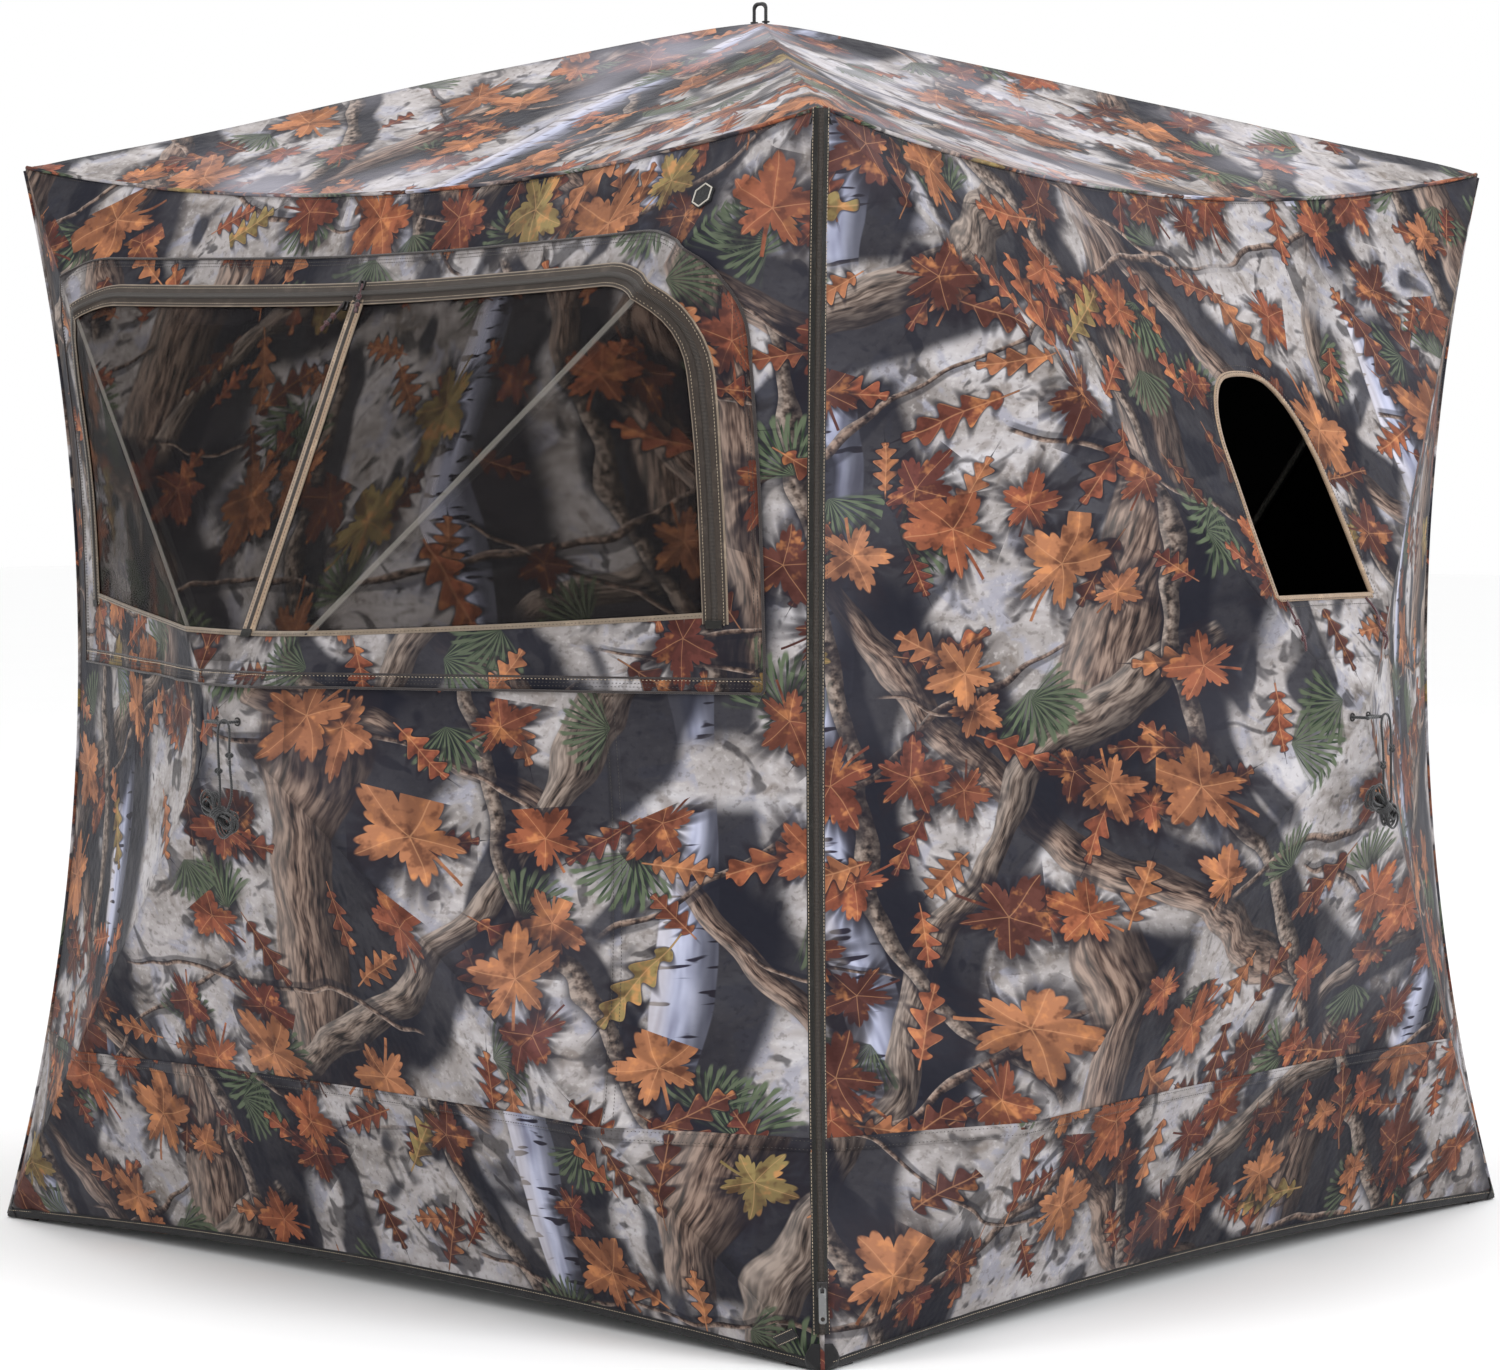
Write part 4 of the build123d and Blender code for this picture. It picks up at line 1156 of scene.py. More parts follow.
def stitch3d(name, P3, side, normal, mat, pitch=0.0042, length=0.0027, width=0.0008, body="shell"):
    p, s = resample(P3, pitch)
    src = np.asarray(P3, float)
    ss_ = np.concatenate([[0], np.cumsum(np.linalg.norm(np.diff(src, axis=0), axis=1))])
    pick = lambda a: np.stack([np.interp(s, ss_, np.broadcast_to(a, src.shape)[:, i]) for i in range(3)], -1)
    sd, nm = pick(side), pick(normal)
    d = np.gradient(p, axis=0)
    d /= np.linalg.norm(d, axis=1)[:, None]
    V_, Fs = [], []
    for i in range(len(p)):
        b = len(V_)
        for a, c in ((-1, -1), (1, -1), (1, 1), (-1, 1)):
            V_.append(p[i] + d[i] * a * length / 2 + sd[i] * c * width / 2)
        V_.append(p[i] + nm[i] * 0.0006)
        Fs += [(b, b + 1, b + 4), (b + 1, b + 2, b + 4), (b + 2, b + 3, b + 4), (b + 3, b, b + 4)]
    ob = new_mesh(name, V_, Fs, [mat], None, [(v[0], v[2]) for v in V_])
    if body:
        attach(ob, body)
    return ob


def flatwise(path, dx):
    """A path moved sideways by dx, to its left."""
    p = np.asarray(path, float)
    d = np.gradient(p, axis=0)
    d /= np.linalg.norm(d, axis=1)[:, None]
    return p + np.stack([-d[:, 1], d[:, 0]], -1) * dx


# ------------------------------------------------------------------ front window: mesh, cover band, zips
def ripple(v):
    """The cover's free lower edge stands off the wall a little and waves."""
    low = np.exp(-(v[:, 1] - WIN_Z0) / 0.022) * np.clip(1 - (np.abs(v[:, 0]) / WIN_X) ** 6, 0, 1)
    side = np.exp(-(WIN_X - np.abs(v[:, 0])) / 0.012)
    top = np.exp(-np.abs(WIN_Z1 - 0.006 - v[:, 1]) / 0.014)
    return low * (0.0042 + 0.0026 * np.sin(v[:, 0] * 31) + 0.0012 * np.sin(v[:, 0] * 77 + 1)) + 0.0016 * side + 0.0016 * top


mesh_obs = layer(F, "window_mesh_cloth", window_outline(0.560, 0.812, 1.276, 0.118, sag=0.010), [], 0.0015, 0.0005, [M["mesh"]], 0.015, SHIFTS["front"], sheet="stretched")
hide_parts("window_mesh")
b_out = window_outline(WIN_X, WIN_Z0, WIN_Z1, 0.130, sag=0.012)
b_in = window_outline(0.562, 0.852, 1.278, 0.112, sag=0.010, dip=0.030)
bo = layer(F, "window_border_cloth", b_out, [b_in], 0.0031, 0.0007, [M["camo_border"], M["liner"]], 0.011, SHIFTS["front"], lift=ripple, sheet="stretched")
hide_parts("window_border")

rim = densify(b_out, 0.012)
rim = np.concatenate([rim, rim[:1]])


def lifted(panel, name, path, prof, mats, lift, **kw):
    """As strip(), with the ripple of the cover's edge added."""
    old = panel.height
    panel.height = lambda p, wrinkles=True: old(p, wrinkles) + lift(np.asarray(p, float).reshape(-1, 2)).reshape(np.asarray(p).shape[:-1])
    try:
        return strip(panel, name, path, prof, mats, **kw)
    finally:
        panel.height = old


def lifted_stitches(panel, name, path, mat, lift, **kw):
    old = panel.height
    panel.height = lambda p, wrinkles=True: old(p, wrinkles) + lift(np.asarray(p, float).reshape(-1, 2)).reshape(np.asarray(p).shape[:-1])
    try:
        return stitches(panel, name, path, mat, **kw)
    finally:
        panel.height = old


pipe = [(0.0016 * math.cos(a), 0.0032 + 0.0017 * math.sin(a)) for a in np.linspace(-0.6, math.pi + 0.6, 8)]
lifted(F, "window_piping", rim, pipe[::-1], [M["seam_dark"]], ripple, step=0.008)
for j, dx in enumerate((0.0062, 0.0105)):
    lifted_stitches(F, f"window_rim_stitch{j}", flatwise(rim, dx), M["thread"], ripple, off=0.0034)
# folded hem along the foot of the cover, and the turned edge of the opening in it
foot = np.array([(x, WIN_Z0 + 0.017) for x in np.linspace(-WIN_X + 0.004, WIN_X - 0.004, 90)])
lifted(F, "window_foot_fold", foot, [(-0.0012, 0.0030), (-0.0006, 0.0041), (0.0, 0.0044), (0.0016, 0.0030)], [M["seam_dark"]], ripple)
lifted_stitches(F, "window_foot_stitch", foot - (0, 0.0025), M["thread_tan"], ripple, off=0.0038)
dip_line = np.array([(x, 0.852 + 0.030 * (abs(x) / 0.562) ** 1.5) for x in np.linspace(-0.555, 0.555, 100)])
strip(F, "window_sill", dip_line, [(-0.0060, 0.0030), (-0.0056, 0.0045), (0.0002, 0.0046), (0.0006, 0.0024)], [M["tape_edge"]])
stitches(F, "window_sill_stitch", dip_line - (0, 0.0030), M["thread"], off=0.0046)

zp = [(-ZIP_X, ZIP_Z0 - 0.004)] + [p for p in window_outline(ZIP_X, ZIP_Z0, ZIP_Z1, 0.118, sag=0.010)[2:]][::-1] + [(ZIP_X, ZIP_Z0 - 0.004)]
zp = densify(zp, 0.008, closed=False)
tape_prof = [(-0.0145, 0.0034), (-0.0142, 0.0044), (-0.0130, 0.0046), (-0.0036, 0.0045), (-0.0029, 0.0060), (-0.0012, 0.0068), (0.0012, 0.0068), (0.0029, 0.0060), (0.0036, 0.0045), (0.0130, 0.0046), (0.0142, 0.0044), (0.0145, 0.0034)]
zmat = lambda j: {0: 1, 1: 1, 9: 1, 10: 1, 4: 2, 5: 2, 6: 2, 3: 2, 7: 2}.get(j, 0)
ze = strip(F, "zip_edge_tape", zp, tape_prof[::-1], [M["tape"], M["tape_edge"], M["coil"]], mat_of=zmat)
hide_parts("window_zip_edge")
for j, dx in enumerate((0.0100, -0.0100)):
    stitches(F, f"zip_edge_stitch{j}", flatwise(zp, dx), M["thread_tan"], off=0.0046)
cp = np.array([(0.0, z) for z in np.linspace(1.266, 0.848, 60)])
cprof = [(a * 0.80, h) for a, h in tape_prof]
zc = strip(F, "zip_centre_tape", cp, cprof[::-1], [M["binding_tan"], M["tape_edge"], M["coil"]], mat_of=zmat)
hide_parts("window_zip_centre")
for j, dx in enumerate((0.0075, -0.0075)):
    stitches(F, f"zip_centre_stitch{j}", flatwise(cp, dx), M["thread"], off=0.0047)
# end boxes where each zip stops
for j, (x, z) in enumerate(((-ZIP_X, ZIP_Z0 - 0.004), (ZIP_X, ZIP_Z0 - 0.004), (0.0, 0.850))):
    strip(F, f"zip_end{j}", [(x - 0.009, z), (x - 0.003, z), (x + 0.003, z), (x + 0.009, z)], [(-0.005, 0.0050), (-0.0046, 0.0072), (0.0046, 0.0072), (0.005, 0.0050)], [M["tape_dark"]])

# ------------------------------------------------------------------ skirt seams, hem and upright seam
for k, w in enumerate(WALLS):
    P = PANELS[w]
    xe = float(np.interp(0.258, P.edges[1][:, 1], P.edges[1][:, 0])) - 0.002
    line = np.array([(x, float(skirt_z(x))) for x in np.linspace(-xe, xe, 160)])
    line[0], line[-1] = (-xe, 0.2575), (xe, 0.2575)
    sh = SHIFTS[w]
    strip(P, f"skirt_fell_{w}", line, [(-0.0085, 0.0), (-0.0080, 0.0013), (0.0070, 0.0015), (0.0078, 0.0002)], [M["camo_low"]], uv_shift=(sh[0] + 1.37, sh[1] + 0.9), along_uv=False)
    for j, dx in enumerate((-0.0055, 0.0045)):
        stitches(P, f"skirt_stitch_{w}{j}", flatwise(line, dx), M["thread"], off=0.0015)
    base = np.array([tuple(q[:2]) for q in P.edges[0]])
    hem = strip(P, f"hem_{w}", base, [(0.0010, -0.0016), (0.0004, 0.0004), (0.0012, 0.0019), (0.0065, 0.0022), (0.0130, 0.0018), (0.0142, 0.0003)], [M["webbing"]], step=0.010)
    if w == "front":
        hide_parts("hem_binding")
    strip(P, f"hem_in_{w}", base, [(0.0142, -0.0010), (0.0130, -0.0024), (0.0065, -0.0027), (0.0010, -0.0016)], [M["webbing"]], step=0.010)
    stitches(P, f"hem_stitch_{w}", flatwise(base, 0.0110), M["thread_tan"], off=0.0021, width=0.0007)

up = np.array([(0.446 + (0.784 - z) / (0.784 - 0.262) * 0.044, z) for z in np.linspace(0.780, 0.262, 60)])
strip(F, "front_upright_fell", up, [(-0.0075, 0.0001), (-0.0070, 0.0012), (0.0065, 0.0013), (0.0072, 0.0001)], [M["camo"]], uv_shift=SHIFTS["front"], along_uv=False)
for j, dx in enumerate((-0.0048, 0.0044)):
    stitches(F, f"front_upright_stitch{j}", flatwise(up, dx), M["thread"], off=0.0013)
# the other walls carry a closed window panel: only its seam and zip show from outside
for w in ("back", "left"):
    P = PANELS[w]
    a_out = densify(arch_outline(0.010), 0.012)
    a_out = np.concatenate([a_out, a_out[:1]])
    stitches(P, f"arch_stitch_{w}", a_out, M["thread"], off=0.0008)
    inner_line = densify(arch_outline(0.0), 0.012)
    inner_line = np.concatenate([inner_line, inner_line[:1]])
    strip(P, f"arch_zip_{w}", inner_line, [(-0.006, 0.0004), (-0.0056, 0.0013), (-0.0018, 0.0014), (-0.0012, 0.0022), (0.0012, 0.0022), (0.0018, 0.0014), (0.0056, 0.0013), (0.006, 0.0004)][::-1], [M["tape_dark"], M["coil"]], mat_of=lambda j: 1 if j in (2, 3, 4) else 0)

for k in range(4):
    c = A - 0.004
    tri = [(c, -c), (c - 0.056, -c), (c, -c + 0.056)]
    vv, ff = triangulate(tri, [], 0.008)
    top = spin(np.concatenate([vv, np.full((len(vv), 1), 0.0022)], -1), k)
    bot = spin(np.concatenate([vv, np.full((len(vv), 1), 0.0002)], -1), k)
    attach(two_sided(f"corner_patch_{k}", top, bot, ff, [M["webbing"]], vv), "shell")
    # the binding's ends are folded round the corner and sewn down as one piece
    P, Q = PANELS[WALLS[k]], PANELS[WALLS[(k + 1) % 4]]
    out, inn, uvw = [], [], []
    for v, wd in ((0.0022, 0.0210), (0.0090, 0.0200), (0.0160, 0.0175), (0.0240, 0.0130), (0.0320, 0.0085)):
        ue = float(np.interp(v, P.edges[1][:, 1], P.edges[1][:, 0]))
        us = np.linspace(wd, 0.0012, 6)
        for off, dst in ((0.0036, out), (0.0025, inn)):
            dst += [P.point(np.array([ue - u, v]), off, False) for u in us] + [Q.point(np.array([-ue + u, v]), off, False) for u in us[::-1]]
        uvw += [(-u, v) for u in us] + [(u, v) for u in us[::-1]]
    tris = []
    for i in range(4):
        for j in range(11):
            q = i * 12 + j
            tris += [(q, q + 1, q + 13), (q, q + 13, q + 12)]
    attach(two_sided(f"corner_fold_{k}", np.array(out), np.array(inn), np.array(tris), [M["webbing"]], np.array(uvw)), "shell")

# ------------------------------------------------------------------ rolled seams at the corners and eaves
ts = np.linspace(0.003, 0.997, 170)
EAVE_OUT = np.array([0.0, -0.80, 0.60])
for k in range(4):
    e = spin(eave(ts), k)
    o = spin(EAVE_OUT, k)
    tube(f"eave_seam_{WALLS[k]}", e + o * 0.0012, 0.0026, M["camo_roof"], 8, "shell")
    side_in = spin(np.array([0.0, 0.33, -0.94]), k)
    nrm_w = spin(np.array([0.0, -0.94, 0.33]), k)
    stitch3d(f"eave_stitch_{WALLS[k]}", e + spin(np.array([0.0, -0.0012, -0.0052]), k) + nrm_w * 0.0012, np.array([0, 0, 1.0]), nrm_w, M["thread"])
for k in (1, 2, 3):
    e = spin(corner_edge(1, -1, ts), k)
    dg = spin(np.array([1.0, -1.0, 0.0]) / math.sqrt(2), k)
    tube(f"corner_seam_{k}", e + dg * 0.0010, 0.0028, M["camo"], 8, "shell")
    for j in (0, 1):
        wd = spin(np.array([-0.945, -0.327, 0.0]) if j == 0 else np.array([0.327, 0.945, 0.0]), k)
        nn = spin(np.array([0.327, -0.945, 0.0]) if j == 0 else np.array([0.945, -0.327, 0.0]), k)
        stitch3d(f"corner_stitch_{k}{j}", e + wd * 0.0065 + nn * 0.0016, wd, nn, M["thread"])

# ------------------------------------------------------------------ door zip up the front right corner
sd = np.linspace(0.030, 0.9995, 260)
E = corner_edge(1, -1, sd)
df, nf = np.array([-0.945, -0.327, 0.0]), np.array([0.327, -0.945, 0.0])
dr, nr_ = np.array([0.327, 0.945, 0.0]), np.array([0.945, -0.327, 0.0])
DG, SD = np.array([1.0, -1.0, 0.0]) / math.sqrt(2), np.array([1.0, 1.0, 0.0]) / math.sqrt(2)
rows = [E + df * 0.0112 + nf * 0.0006, E + df * 0.0110 + nf * 0.0022, E + df * 0.0050 + nf * 0.0030,
        E + DG * 0.0042 - SD * 0.0034, E + DG * 0.0060 - SD * 0.0022, E + DG * 0.0066, E + DG * 0.0060 + SD * 0.0022, E + DG * 0.0042 + SD * 0.0034,
        E + dr * 0.0050 + nr_ * 0.0030, E + dr * 0.0110 + nr_ * 0.0022, E + dr * 0.0112 + nr_ * 0.0006]
s_e = np.concatenate([[0], np.cumsum(np.linalg.norm(np.diff(E, axis=0), axis=1))])
dz = band3d("door_zip_tape", E, rows, [M["tape_dark"], M["coil"]], s_e, mat_of=lambda j: 1 if j in (3, 4, 5, 6) else 0)
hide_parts("door_zip")
for j, (wd, nn) in enumerate(((df, nf), (dr, nr_))):
    for i, a in enumerate((0.0088, 0.0150)):
        stitch3d(f"door_stitch_{j}{i}", E + wd * a + nn * (0.0026 if i == 0 else 0.0012), wd, nn, M["thread_tan"] if i == 0 else M["thread"])
# below the zip the corner is sewn shut
e0 = corner_edge(1, -1, np.linspace(0.002, 0.031, 12))
tube("door_foot_seam", e0 + DG * 0.0012, 0.0030, M["camo_low"], 8, "shell")

# ------------------------------------------------------------------ arch window on the right wall
ring_a = densify(arch_outline(), 0.006)
ring_a = np.concatenate([ring_a, ring_a[:1]])
strip(RW, "arch_binding", ring_a, [(0.0012, -0.0030), (0.0018, -0.0006), (0.0010, 0.0013), (-0.0022, 0.0017), (-0.0052, 0.0013), (-0.0056, 0.0)][::-1], [M["binding_tan"]])
stitches(RW, "arch_binding_stitch", flatwise(ring_a, -0.0036), M["thread"], off=0.0018)
stitches(RW, "arch_outer_stitch", flatwise(ring_a, -0.0120), M["thread"], off=0.0008)
# cover rolled down inside, below the opening
zr = ARCH_Z0 - 0.020
yr = float(RW.height(np.array([0.0, zr]), False)) - 0.022
th_ = np.linspace(0, 2 * math.pi * 3.4, 110)
spiral = [(0.0040 + 0.0088 * t / th_[-1]) for t in th_]
xs_ = np.linspace(-0.098, 0.098, 40)
V_, Fs, UV = [], [], []
nz = RW.noise
for i, x in enumerate(xs_):
    for j, t in enumerate(th_):
        r_ = spiral[j] + 0.0006 * float(nz(x * 30, t))
        V_.append((x, zr + r_ * math.sin(t), yr + r_ * math.cos(t)))
        UV.append((x + 5.0, t * 0.009 + 2.0))
m_ = len(th_)
for i in range(len(xs_) - 1):
    for j in range(m_ - 1):
        a = i * m_ + j
        Fs.append((a, a + 1, a + m_ + 1, a + m_))
roll = new_mesh("arch_cover_roll", RW.to3d(np.array(V_)), Fs, [M["liner"]], None, UV)
RW.blend(roll, 2, False)
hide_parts("arch_flap_roll")
for j, x in enumerate((-0.055, 0.055)):
    tt = np.linspace(0, 2 * math.pi, 36)
    loop = RW.to3d(np.stack([np.full(36, x), zr + 0.0150 * np.sin(tt), yr + 0.0150 * np.cos(tt)], -1))
    st = tube(f"arch_roll_strap_{j}", loop, 0.0016, M["webbing"], 6, None, caps=False)
    RW.blend(st, 2, False)


def knot(c, ax, up_, size):
    """Points of an overhand knot about c, entered from above."""
    c, ax, up_ = (np.array(v, float) for v in (c, ax, up_))
    w_ = np.cross(ax, up_)
    out = []
    for t in np.linspace(0.35, 2 * math.pi - 0.35, 26):
        a = t + math.pi / 2
        px = (math.sin(a) + 2 * math.sin(2 * a)) / 3
        py = (math.cos(a) - 2 * math.cos(2 * a)) / 3
        pz = -math.sin(3 * a)
        out.append(c + ax * px * size + up_ * py * size + w_ * pz * size * 0.42)
    return out


def wall_cord(panel, name, pts, r, mat, facet, replaces=None, extra=()):
    """A short free cord lying on a wall, from 2-D points with a height off the cloth."""
    q = np.array(pts, float)
    base_h = panel.height(q[:, :2], False) + q[:, 2]
    line = cardinal(panel.to3d(np.concatenate([q[:, :2], base_h[:, None]], -1)), 8)
    ob = tube(name, line, r, mat, 9)
    panel.blend(ob, facet, False)
    if replaces:
        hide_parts(replaces)
    return ob, line


for j, (s_, ln) in enumerate(((-1, 0.062), (1, 0.066))):
    x0, z0 = s_ * 0.090, ARCH_Z0 - 0.004
    pts = [(x0, z0, 0.0015), (x0 + s_ * 0.003, z0 - 0.010, 0.0045), (x0 + s_ * 0.004, z0 - 0.022, 0.0062), (x0 - s_ * 0.001, z0 - 0.038, 0.0064), (x0 + s_ * 0.004, z0 - 0.052, 0.0066), (x0 + s_ * 0.001, z0 - ln, 0.0060)]
    ob, line = wall_cord(RW, f"arch_tie_{j}", pts, 0.0016, M["cord_maroon"], 2, "arch_ties" if j == 0 else None)
    for i, zz in enumerate((0.026, 0.046)):
        cpt = RW.to3d(np.array([x0 + s_ * 0.003, z0 - zz, float(RW.height(np.array([x0, z0 - zz]), False)) + 0.0070]))
        kn = tube(f"arch_tie_knot_{j}{i}", knot(cpt, (0, 1, 0), (0, 0, 1), 0.0034), 0.0015, M["cord_maroon"], 8)
        RW.blend(kn, 2, False)

# ------------------------------------------------------------------ pull loops, tie-down ropes and their hanks
def rope_curve(name, pts, r, mat):
    cu = bpy.data.curves.new(name, "CURVE")
    cu.dimensions = "3D"
    cu.bevel_depth = r
    cu.bevel_resolution = 3
    cu.resolution_u = 6
    cu.use_fill_caps = True
    sp = cu.splines.new("NURBS")
    sp.points.add(len(pts) - 1)
    for q, v in zip(sp.points, pts):
        q.co = (*[float(a) for a in v], 1.0)
    sp.order_u = 3
    sp.use_endpoint_u = True
    cu.materials.append(mat)
    ob = bpy.data.objects.new(name, cu)
    COL.objects.link(ob)
    return ob


def curve_length(ob):
    dg = bpy.context.evaluated_depsgraph_get()
    d = ob.data.copy()
    d.bevel_depth = 0.0
    tmp = bpy.data.objects.new("tmp_len", d)
    COL.objects.link(tmp)
    bpy.context.view_layer.update()
    me = tmp.evaluated_get(bpy.context.evaluated_depsgraph_get()).to_mesh()
    co = np.array([v.co[:] for v in me.vertices])
    tmp.evaluated_get(bpy.context.evaluated_depsgraph_get()).to_mesh_clear()
    bpy.data.objects.remove(tmp)
    return length_of(co)


N0 = -(A + B)


def hank_path():
    """Cord wound in a figure of eight, then bound round its waist."""
    ang = math.radians(32)
    c = np.array([0.012, N0 - 0.015, HZ - 0.112])
    ex, ez = np.array([math.cos(ang), 0, -math.sin(ang)]), np.array([math.sin(ang), 0, math.cos(ang)])
    ey = np.array([0.0, 1.0, 0.0])
    pts = []
    turns = 7
    for i in range(turns):
        dep = -0.0060 + 0.0020 * i
        a = math.radians((-13, 9, -5, 14, 2, -9, 6)[i])
        L = (0.0345, 0.0290, 0.0325, 0.0265, 0.0350, 0.0300, 0.0280)[i]
        Hh = (0.0125, 0.0098, 0.0140, 0.0105, 0.0088, 0.0130, 0.0110)[i]
        for t in np.linspace(0, 2 * math.pi, 24, endpoint=False):
            px = L * math.sin(t)
            pz = Hh * math.sin(2 * t)
            qx, qz = px * math.cos(a) - pz * math.sin(a), px * math.sin(a) + pz * math.cos(a)
            pd = dep + 0.0020 * t / (2 * math.pi) + 0.0016 * math.cos(t)
            pts.append(c + ex * qx + ez * qz + ey * pd)
    wrap = []
    for t in np.linspace(0, 2 * math.pi * 4, 48):
        wrap.append(c + ez * 0.0078 * math.cos(t + 0.6) + ey * (0.0011 + 0.0112 * math.sin(t + 0.6)) + ex * (-0.0052 + 0.0034 * t / (2 * math.pi) * 0.95))
    tail = [wrap[-1] + ez * -0.004 + ey * -0.003 + ex * 0.006, wrap[-1] + ez * -0.012 + ey * -0.004 + ex * 0.012, wrap[-1] + ez * -0.020 + ey * -0.004 + ex * 0.015]
    return pts, wrap, tail


for k, w in enumerate(WALLS):
    hub, tie = "hub_" + w, "tie_" + w
    # loop through two eyelets in the cloth
    lp = N0 - 0.009
    P_loop = [(-0.018, -0.984, HZ), (-0.018, -1.000, HZ), (-0.018, lp - 0.0004, HZ), (-0.010, lp - 0.0004, HZ), (0.0, lp - 0.0006, HZ), (0.010, lp - 0.0004, HZ), (0.018, lp - 0.0004, HZ), (0.018, -1.000, HZ), (0.018, -0.984, HZ)]
    P_loop = cardinal(spin(np.array(P_loop), k), 6)
    ob = tube(f"pull_loop_{w}", P_loop, 0.00205, M["cord_black"], 10, hub)
    for s_ in (-1, 1):
        tt = np.linspace(0, 2 * math.pi, 28)
        y_s = -(float(F.height(np.array([0.018 * s_, HZ]), False))) - 0.0012
        ringp = spin(np.stack([0.018 * s_ + 0.0046 * np.cos(tt), np.full(28, y_s), HZ + 0.0046 * np.sin(tt)], -1), k)
        tube(f"eyelet_{w}_{'l' if s_ < 0 else 'r'}", ringp, 0.0011, M["metal_dark"], 8, hub, caps=False)
    # rope over the loop, with a knot under it, and its hank
    route = [(15, N0 * 1000 - 14, HZ * 1000 - 92), (13, N0 * 1000 - 16, HZ * 1000 - 45), (8, N0 * 1000 - 13, HZ * 1000 + 3), (32, N0 * 1000 - 13, HZ * 1000 + 4), (31, N0 * 1000 - 15, HZ * 1000 - 42), (35, N0 * 1000 - 13, HZ * 1000 - 84)]
    route = np.array(route) / 1000.0
    hk, wrap, tail = hank_path()
    full = [(0.0265, N0 - 0.0175, HZ - 0.1140), (0.0330, N0 - 0.0155, HZ - 0.1000), route[5], route[4], route[3], route[2], route[1], route[0], (0.0140, N0 - 0.0175, HZ - 0.1040)]
    full = [np.array(v) for v in full]
    exit_p = spin(full[0], k)
    rope = rope_curve(f"rope_{w}", spin(np.array(full), k), 0.0016, M["cord_black"])
    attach(rope, tie)
    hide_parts(f"tie_rope_{w}")
    bundle = rope_curve(f"hank_{w}", spin(np.array(hk), k), 0.00155, M["cord_black"])
    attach(bundle, tie)
    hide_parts(f"tie_hank_{w}")
    wr = rope_curve(f"hank_wrap_{w}", spin(np.array(wrap + tail), k), 0.00155, M["cord_black"])
    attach(wr, tie)
    for i, (cx, cz) in enumerate(((0.0325, HZ - 0.040), (0.0125, HZ - 0.060))):
        kc = spin(np.array([cx, N0 - 0.0155, cz]), k)
        ax_ = spin(np.array([1.0, 0, 0]), k)
        kn = tube(f"rope_knot_{w}_{i}", knot(kc, ax_, (0, 0, 1), 0.0046), 0.0016, M["cord_black"], 8, tie)
    round(curve_length(rope), 3)

rl = 0.0108
P_loop = cardinal([(-rl, 0, 1.660), (-rl, 0, 1.690), (-rl * 0.96, 0, 1.7000), (-rl * 0.55, 0, 1.7034), (0, 0, 1.7036), (rl * 0.55, 0, 1.7034), (rl * 0.96, 0, 1.7000), (rl, 0, 1.690), (rl, 0, 1.660)], 6)
ob = tube("pull_loop_roof", P_loop, 0.00245, M["cord_black"], 10, "hub_roof")
for s_ in (-1, 1):
    tt = np.linspace(0, 2 * math.pi, 28)
    zz = float(ROOF.height(np.array([rl * s_, 0.0]), False)) + 0.0010
    tube(f"eyelet_roof_{'l' if s_ < 0 else 'r'}", np.stack([rl * s_ + 0.0046 * np.cos(tt), 0.0046 * np.sin(tt), np.full(28, zz)], -1), 0.0011, M["metal_dark"], 8, "hub_roof", caps=False)

# ------------------------------------------------------------------ pole tip pockets, sewn webbing cups inside the corners
TIPS = {"bl": ((-0.01919, -0.980, 0.72301), (-0.6917, 0.2305, -0.6844), 1.0066), "br": ((0.01919, -0.980, 0.72301), (0.6917, 0.2305, -0.6844), 1.0066),
        "tr": ((0.01904, -0.980, 0.76114), (0.6808, 0.2603, 0.6846), 0.9855), "tl": ((-0.01904, -0.980, 0.76114), (-0.6808, 0.2603, 0.6846), 0.9855)}
RTIPS = {"fl": ((-0.01909, -0.01909, 1.656), (-0.6934, -0.6934, -0.1962), 0.9668), "fr": ((0.01909, -0.01909, 1.656), (0.6934, -0.6934, -0.1962), 0.9668),
         "br": ((0.01909, 0.01909, 1.656), (0.6934, 0.6934, -0.1962), 0.9668), "bl": ((-0.01909, 0.01909, 1.656), (-0.6934, 0.6934, -0.1962), 0.9668)}


def cup(name, tip, d):
    prof = [(0.0070, 0.0002), (0.0070, -0.0265), (0.0076, -0.0272), (0.0086, -0.0266), (0.0089, -0.0240), (0.0086, -0.0215), (0.0086, -0.0030), (0.0080, 0.0006), (0.0060, 0.0026), (0.0030, 0.0032), (0.0002, 0.0033)]
    d = np.array(d, float)
    d /= np.linalg.norm(d)
    n = np.cross(d, (0, 0, 1.0))
    n /= np.linalg.norm(n)
    b = np.cross(d, n)
    V_, UV, Fs = [], [], []
    K = 22
    acc = 0
    for i, (r, z) in enumerate(prof):
        if i:
            acc += math.hypot(r - prof[i - 1][0], z - prof[i - 1][1])
        for j in range(K):
            a = 2 * math.pi * j / K
            V_.append(tip + d * z + (n * math.cos(a) + b * math.sin(a)) * r)
            UV.append((a * 0.0086, acc))
    for i in range(len(prof) - 1):
        for j in range(K):
            q = (j + 1) % K
            Fs.append((i * K + j, i * K + q, (i + 1) * K + q, (i + 1) * K + j))
    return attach(new_mesh(name, V_, Fs, [M["webbing"]], None, UV), "pole_" + name[7:])


